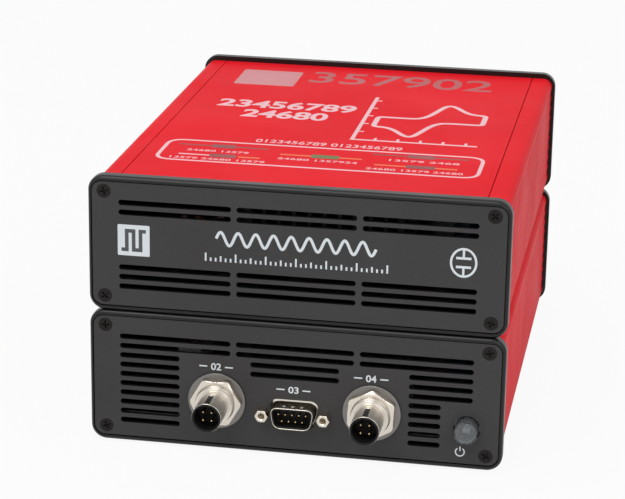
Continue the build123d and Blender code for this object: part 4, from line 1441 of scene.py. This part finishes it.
@dataclass
class FrontPrint:
    """Marks on both front panels.

    Attributes:
        shop: where materials come from.
    """

    shop: FinishShop

    @staticmethod
    def trace_strip(ink: PrintLayer) -> None:
        """Wave above the scale: v(t) = middle + tall sin(2 pi waves t), t from 0 to 1.

        Args:
            ink: layer that takes it.
        """
        left, length, middle, tall, waves = -32.0, 63.6, 5.2, 2.7, 9
        sweep = np.linspace(0, 1, 241)
        trace = middle + tall * np.sin(2 * math.pi * waves * sweep)
        ink.stroke(np.stack([left + length * sweep, trace], axis=-1), 1.15)

    @staticmethod
    def scale_strip(ink: PrintLayer) -> None:
        """Row of ticks, every third one taller and every sixth one tallest.

        Args:
            ink: layer that takes it.
        """
        left, pitch, foot, half = -36.2, 2.01, -4.3, 0.35
        for number in range(37):
            tall = 3.4 if number % 6 == 0 else (2.3 if number % 3 == 0 else 1.5)
            x = left + pitch * number
            ink.box(x - half, x + half, foot, foot + tall)

    @staticmethod
    def cell_sign(ink: PrintLayer) -> None:
        """Cell between two wires in an oval ring.

        Args:
            ink: layer that takes it.
        """
        x, middle, across, up, line = 65.85, 2.3, 4.9, 5.6, 0.9
        turn = full_turn(64)
        ring = np.stack([x + across * np.cos(turn), middle + up * np.sin(turn)], axis=-1)
        ink.stroke(ring, line, closed=True)
        ink.stroke([(x, 7.44), (x, 4.61)], line)
        ink.stroke([(x, -2.84), (x, -0.01)], line)
        for low in (3.6, 0.0):
            ink.box(62.9, 68.8, low, low + 1.0)

    def upper(self) -> None:
        """Sign square, trace strip, scale strip and cell sign of the upper panel."""
        ink = PrintLayer("upper_front_print", Side.FRONT, "upper_front_panel", WHITE_INK)
        ink.box(-71.9, -58.9, -4.4, 8.4, soft=0.5)
        self.trace_strip(ink)
        self.scale_strip(ink)
        self.cell_sign(ink)
        ink.build(self.shop, "dark_panel")
        sign = PrintLayer("upper_front_sign", Side.FRONT, "upper_front_panel", SIGN_INK, lift=0.026)
        sign.stroke([(-70.4, -1.9), (-68.2, -1.9), (-68.2, 5.9), (-65.4, 5.9), (-65.4, -1.9), (-62.6, -1.9),
                     (-62.6, 5.9), (-60.4, 5.9)], 1.5)
        sign.build(self.shop, "dark_panel")

    def lower(self) -> None:
        """Port numbers and the power sign of the lower panel."""
        ink = PrintLayer("lower_front_print", Side.FRONT, "lower_front_panel", WHITE_INK)
        half, dash_start, dash_end = 2.1, 3.6, 6.9
        for number, x, low, high in (("02", -31.9, 5.8, 8.8), ("04", 30.9, 5.8, 8.8),
                                     ("03", -0.3, -1.6, 1.3)):
            ink.numerals(number, x - half, x + half, low, high, bold=0.02)
            level = (low + high) / 2
            for side in (-1, 1):
                ink.stroke([(x + side * dash_start, level), (x + side * dash_end, level)], 0.55)
        x, middle, radius, line = 67.15, -20.7, 1.75, 0.5
        turn = np.radians(np.linspace(125, 415, 40))
        ink.stroke(np.stack([x + radius * np.cos(turn), middle + radius * np.sin(turn)], axis=-1), line)
        ink.stroke([(x, -20.3), (x, -18.4)], line)
        ink.build(self.shop, "dark_panel")

    def build(self) -> None:
        """Prints both panels."""
        self.upper()
        self.lower()


@dataclass
class LidPrint:
    """Marks on the upper lid: wiring legend without words, digit rows, and a plain current trace.

    Attributes:
        shop: where materials come from.
        node: CAD node that carries them.
    """

    shop: FinishShop
    node: str = "upper_lid"

    def layer(self, name: str, ink: Finish, lift: float = 0.004) -> PrintLayer:
        """Starts a layer on the lid.

        Args:
            name: name of the piece.
            ink: its finish.
            lift: height of the ink's underside over the lid.
        Returns:
            The empty layer.
        """
        return PrintLayer(name, Side.LID, self.node, ink, lift=lift)

    @staticmethod
    def trace() -> np.ndarray:
        """Plain closed sweep curve, out with the one half and back with the other.

        y(x) = 0.04 + 0.46 exp(-((x - 0.62) / w)^2) with w = 0.13 before the peak, and past it
        y(x) = 0.25 + 0.25 exp(-((x - 0.62) / 0.16)^2); the way back is -y(1 - x). A running mean along
        the line softens the two turns.

        Returns:
            Points on the lid as (point, 2).
        """
        x = np.linspace(0, 1, 120)
        peak = 0.62
        rise = 0.04 + 0.46 * np.exp(-(((x - peak) / 0.13) ** 2))
        fall = 0.25 + 0.25 * np.exp(-(((x - peak) / 0.16) ** 2))
        y = np.where(x < peak, rise, fall)
        line = np.concatenate([np.stack([x, y], axis=-1), np.stack([1 - x, -y], axis=-1)])
        size, corner, beside = [46.0, 56.0], [13.5, 121.0], 6
        fine = resampled(line * size + corner, 0.4)
        total = sum(np.roll(fine, shift, axis=0) for shift in range(-beside, beside + 1))
        return total / (2 * beside + 1)

    def pale(self) -> None:
        """Legend outline and its digit rows, larger digit rows, trace and its axes."""
        ink = self.layer("lid_print_pale", PALE_INK)
        ink.frame(-66.0, 66.0, 36.8, 67.2, 7.0, 1.6)
        ink.box(-58.0, -45.0, 45.3, 46.7)
        ink.numerals("0123456789 0123456789", -31.0, 31.0, 70.6, 75.4)
        for digits, left, right, low in (
            ("24680 13579", -56.0, -30.0, 51.3), ("13579 24680 13579", -60.5, -21.0, 39.3),
            ("24680 1357924", -17.0, 16.0, 46.6), ("13579 2468", 28.0, 57.0, 54.2),
            ("24680 13579 24680", 20.5, 60.0, 40.2),
        ):
            ink.numerals(digits, left, right, low, low + 2.8)
        ink.numerals("23456789", -60.0, 2.0, 126.5, 139.5, bold=0.03)
        ink.numerals("24680", -46.0, -8.0, 110.5, 123.5, bold=0.03)
        ink.stroke(self.trace(), 2.3, closed=True)
        left, low, pitch_across, pitch_up = 8.0, 84.0, 9.6, 13.4
        ink.stroke([(left, 157.0), (left, low), (61.0, low)], 1.7)
        for step in range(1, 6):
            across, up = left + pitch_across * step, low + pitch_up * step
            ink.box(across - 0.6, across + 0.6, 84.86, 88.0)
            ink.box(8.86, 11.0, up - 0.7, up + 0.7)
        ink.build(self.shop, "red_anodised")

    def faint(self) -> None:
        """Square and digit row near the back."""
        square = self.layer("lid_print_faint", FAINT_INK)
        square.box(-61.0, -33.0, 168.0, 196.0, soft=1.5)
        square.build(self.shop, "red_anodised")
        digits = self.layer("lid_print_dim", DIM_INK)
        digits.numerals("357902", -28.0, 57.0, 178.0, 199.0, bold=0.01)
        digits.build(self.shop, "red_anodised")

    def coloured(self) -> None:
        """Coloured bars of the legend."""
        dark = self.layer("lid_print_dark", DARK_INK)
        for left, right, low, high in ((-61, -47, 59.6, 61.2), (-47, -37, 57.8, 63.0), (-37, -23, 59.6, 61.2),
                                       (-45, -34, 43.8, 48.4), (20, 35, 61.8, 63.4), (35, 46, 60.2, 65.0),
                                       (46, 60, 61.8, 63.4), (36, 48, 45.2, 49.8)):
            dark.box(left, right, low, high, soft=0.3)
        dark.build(self.shop, "red_anodised")
        orange = self.layer("lid_print_orange", ORANGE_INK)
        for left, right, middle in ((-33, -24, 46.0), (-17, -4, 54.0), (7.5, 17, 54.0), (23, 36, 47.5),
                                    (48, 57, 47.5)):
            orange.box(left, right, middle - 0.8, middle + 0.8)
        orange.build(self.shop, "red_anodised")
        green = self.layer("lid_print_green", GREEN_INK)
        green.box(-4.0, 7.5, 51.6, 56.6, soft=0.3)
        green.build(self.shop, "red_anodised")

    def build(self) -> None:
        """Prints the lid."""
        self.pale()
        self.faint()
        self.coloured()


# Studio


@dataclass(frozen=True)
class Lamp:
    """Square soft lamp.

    Attributes:
        name: its name.
        place: where it hangs, in metres.
        size: its side in metres.
        power: its power in watts.
    """

    name: str
    place: tuple[float, float, float]
    size: float
    power: float


LAMPS = (Lamp("key", (-0.35, -0.9, 1.5), 1.1, 13.0), Lamp("fill", (0.9, -1.0, 0.8), 0.9, 3.0))


@dataclass
class Studio:
    """Pale floor, soft light and the photograph's camera.

    Attributes:
        azimuth: camera's turn to the right of the front, in degrees.
        elevation: camera's height angle, in degrees.
        roll: camera's roll, in degrees.
        lens: focal length on the sensor, in millimetres.
        sensor: width of the sensor, in millimetres.
        aim: point that the camera looks at, in millimetres.
        distance: distance from there, in millimetres.
        ambient: strength of the world for diffuse light.
        paper_share: how much of the floor's look is its white paper; the rest is light and shadow.
        floor_half: half the floor's side, in metres.
        floor_grey: colour of the floor under light.
        lamp_aim: point that the lamps face, in metres.
    """

    azimuth: float = 9.8725
    elevation: float = 18.0778
    roll: float = 0.9110
    lens: float = 131.375
    sensor: float = 36.0
    aim: tuple[float, float, float] = (6.499, -98.95, 88.653)
    distance: float = 890.567
    ambient: float = 0.62
    paper_share: float = 0.93
    floor_half: float = 4.0
    floor_grey: float = 0.62
    lamp_aim: tuple[float, float, float] = (0.0, 0.0, 0.05)

    def camera(self) -> None:
        """Makes the camera from its angles a, e and r.

        back = (sin a cos e, -cos a cos e, sin e), right = (cos a, sin a, 0), both rolled by r.
        """
        a, e, r = (math.radians(v) for v in (self.azimuth, self.elevation, self.roll))
        back = np.array([math.sin(a) * math.cos(e), -math.cos(a) * math.cos(e), math.sin(e)])
        right = np.array([math.cos(a), math.sin(a), 0.0])
        up = np.cross(back, right)
        across = math.cos(r) * right + math.sin(r) * up
        upward = -math.sin(r) * right + math.cos(r) * up
        data = bpy.data.cameras.new("camera")
        data.sensor_fit = "HORIZONTAL"
        data.sensor_width = self.sensor
        data.lens = self.lens
        data.clip_start = 0.01
        camera = bpy.data.objects.new("camera", data)
        bpy.context.scene.collection.objects.link(camera)
        place = Matrix(np.stack([across, upward, back], axis=1).tolist()).to_4x4()
        place.translation = ((np.array(self.aim) + self.distance * back) * MM).tolist()
        camera.matrix_world = place
        bpy.context.scene.camera = camera

    def hang(self, lamp: Lamp) -> None:
        """Hangs a lamp that faces the object.

        Args:
            lamp: the lamp.
        """
        data = bpy.data.lights.new(lamp.name, "AREA")
        data.size = lamp.size
        data.energy = lamp.power
        hung = bpy.data.objects.new(lamp.name, data)
        bpy.context.scene.collection.objects.link(hung)
        place = Matrix.Translation(lamp.place)
        away = place.translation - Matrix.Translation(self.lamp_aim).translation
        hung.matrix_world = place @ away.to_track_quat("Z", "Y").to_matrix().to_4x4()

    def white_for_view(self, tree: bpy.types.NodeTree) -> bpy.types.NodeSocket:
        """Mask of the rays that see or reflect the background.

        Args:
            tree: tree of the world or the floor.
        Returns:
            Socket that is one for camera, glossy and transmission rays.
        """
        path = tree.nodes.new("ShaderNodeLightPath")
        total = path.outputs["Is Camera Ray"]
        for name in ("Is Glossy Ray", "Is Transmission Ray"):
            larger = tree.nodes.new("ShaderNodeMath")
            larger.operation = "MAXIMUM"
            tree.links.new(total, larger.inputs[0])
            tree.links.new(path.outputs[name], larger.inputs[1])
            total = larger.outputs["Value"]
        return total

    def world(self) -> None:
        """White background that gives a plainer light than it shows."""
        world = bpy.data.worlds.new("studio")
        bpy.context.scene.world = world
        world.use_nodes = True
        tree = world.node_tree
        tree.nodes.clear()
        leave = tree.nodes.new("ShaderNodeOutputWorld")
        soft = tree.nodes.new("ShaderNodeBackground")
        soft.inputs["Color"].default_value = (1.0, 1.0, 1.0, 1.0)
        soft.inputs["Strength"].default_value = self.ambient
        shown = tree.nodes.new("ShaderNodeBackground")
        shown.inputs["Color"].default_value = (1.0, 1.0, 1.0, 1.0)
        shown.inputs["Strength"].default_value = 1.0
        mix = tree.nodes.new("ShaderNodeMixShader")
        tree.links.new(self.white_for_view(tree), mix.inputs[0])
        tree.links.new(soft.outputs[0], mix.inputs[1])
        tree.links.new(shown.outputs[0], mix.inputs[2])
        tree.links.new(mix.outputs[0], leave.inputs["Surface"])

    def floor(self) -> None:
        """Pale floor that goes over into the background."""
        mesh = bpy.data.meshes.new("floor")
        half, grey = self.floor_half, self.floor_grey
        corners = [(-half, -half, 0), (half, -half, 0), (half, half, 0), (-half, half, 0)]
        mesh.from_pydata(corners, [], [(0, 1, 2, 3)])
        floor = bpy.data.objects.new("floor", mesh)
        bpy.context.scene.collection.objects.link(floor)
        material = bpy.data.materials.new("floor_paper")
        material.use_nodes = True
        shader = next(node for node in material.node_tree.nodes if node.type == "BSDF_PRINCIPLED")
        shader.inputs["Base Color"].default_value = (grey, grey, grey, 1)
        shader.inputs["Roughness"].default_value = 0.9
        shader.inputs["Specular IOR Level"].default_value = 0.1
        tree = material.node_tree
        paper = tree.nodes.new("ShaderNodeEmission")
        paper.inputs["Strength"].default_value = 1.0
        share = tree.nodes.new("ShaderNodeMath")
        share.operation = "MULTIPLY"
        share.inputs[1].default_value = self.paper_share
        mix = tree.nodes.new("ShaderNodeMixShader")
        leave = next(node for node in tree.nodes if node.type == "OUTPUT_MATERIAL")
        tree.links.new(self.white_for_view(tree), share.inputs[0])
        tree.links.new(share.outputs["Value"], mix.inputs[0])
        tree.links.new(shader.outputs[0], mix.inputs[1])
        tree.links.new(paper.outputs[0], mix.inputs[2])
        tree.links.new(mix.outputs[0], leave.inputs["Surface"])
        mesh.materials.append(material)

    def build(self) -> None:
        """Sets up the studio."""
        bpy.context.scene.view_settings.view_transform = "Standard"
        self.camera()
        self.world()
        self.floor()
        for lamp in LAMPS:
            self.hang(lamp)
        LOG.info("studio ready")


# The whole


@dataclass
class Potentiostat:
    """The whole instrument.

    Attributes:
        shop: where materials come from.
    """

    shop: FinishShop = field(default_factory=FinishShop)

    def build(self) -> None:
        """Builds every part of the looks."""
        CaseHardware(self.shop).build()
        CellConnector(self.shop, "working", nut_turn=30.0).build()
        CellConnector(self.shop, "counter", nut_turn=57.0).build()
        SenseConnector(self.shop).build()
        PowerButton(self.shop).build()
        FrontPrint(self.shop).build()
        LidPrint(self.shop).build()


def main() -> None:
    logging.basicConfig(level=logging.INFO, format="%(name)s: %(message)s")
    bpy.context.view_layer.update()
    Potentiostat().build()
    Studio().build()


if __name__ == "__main__":
    main()
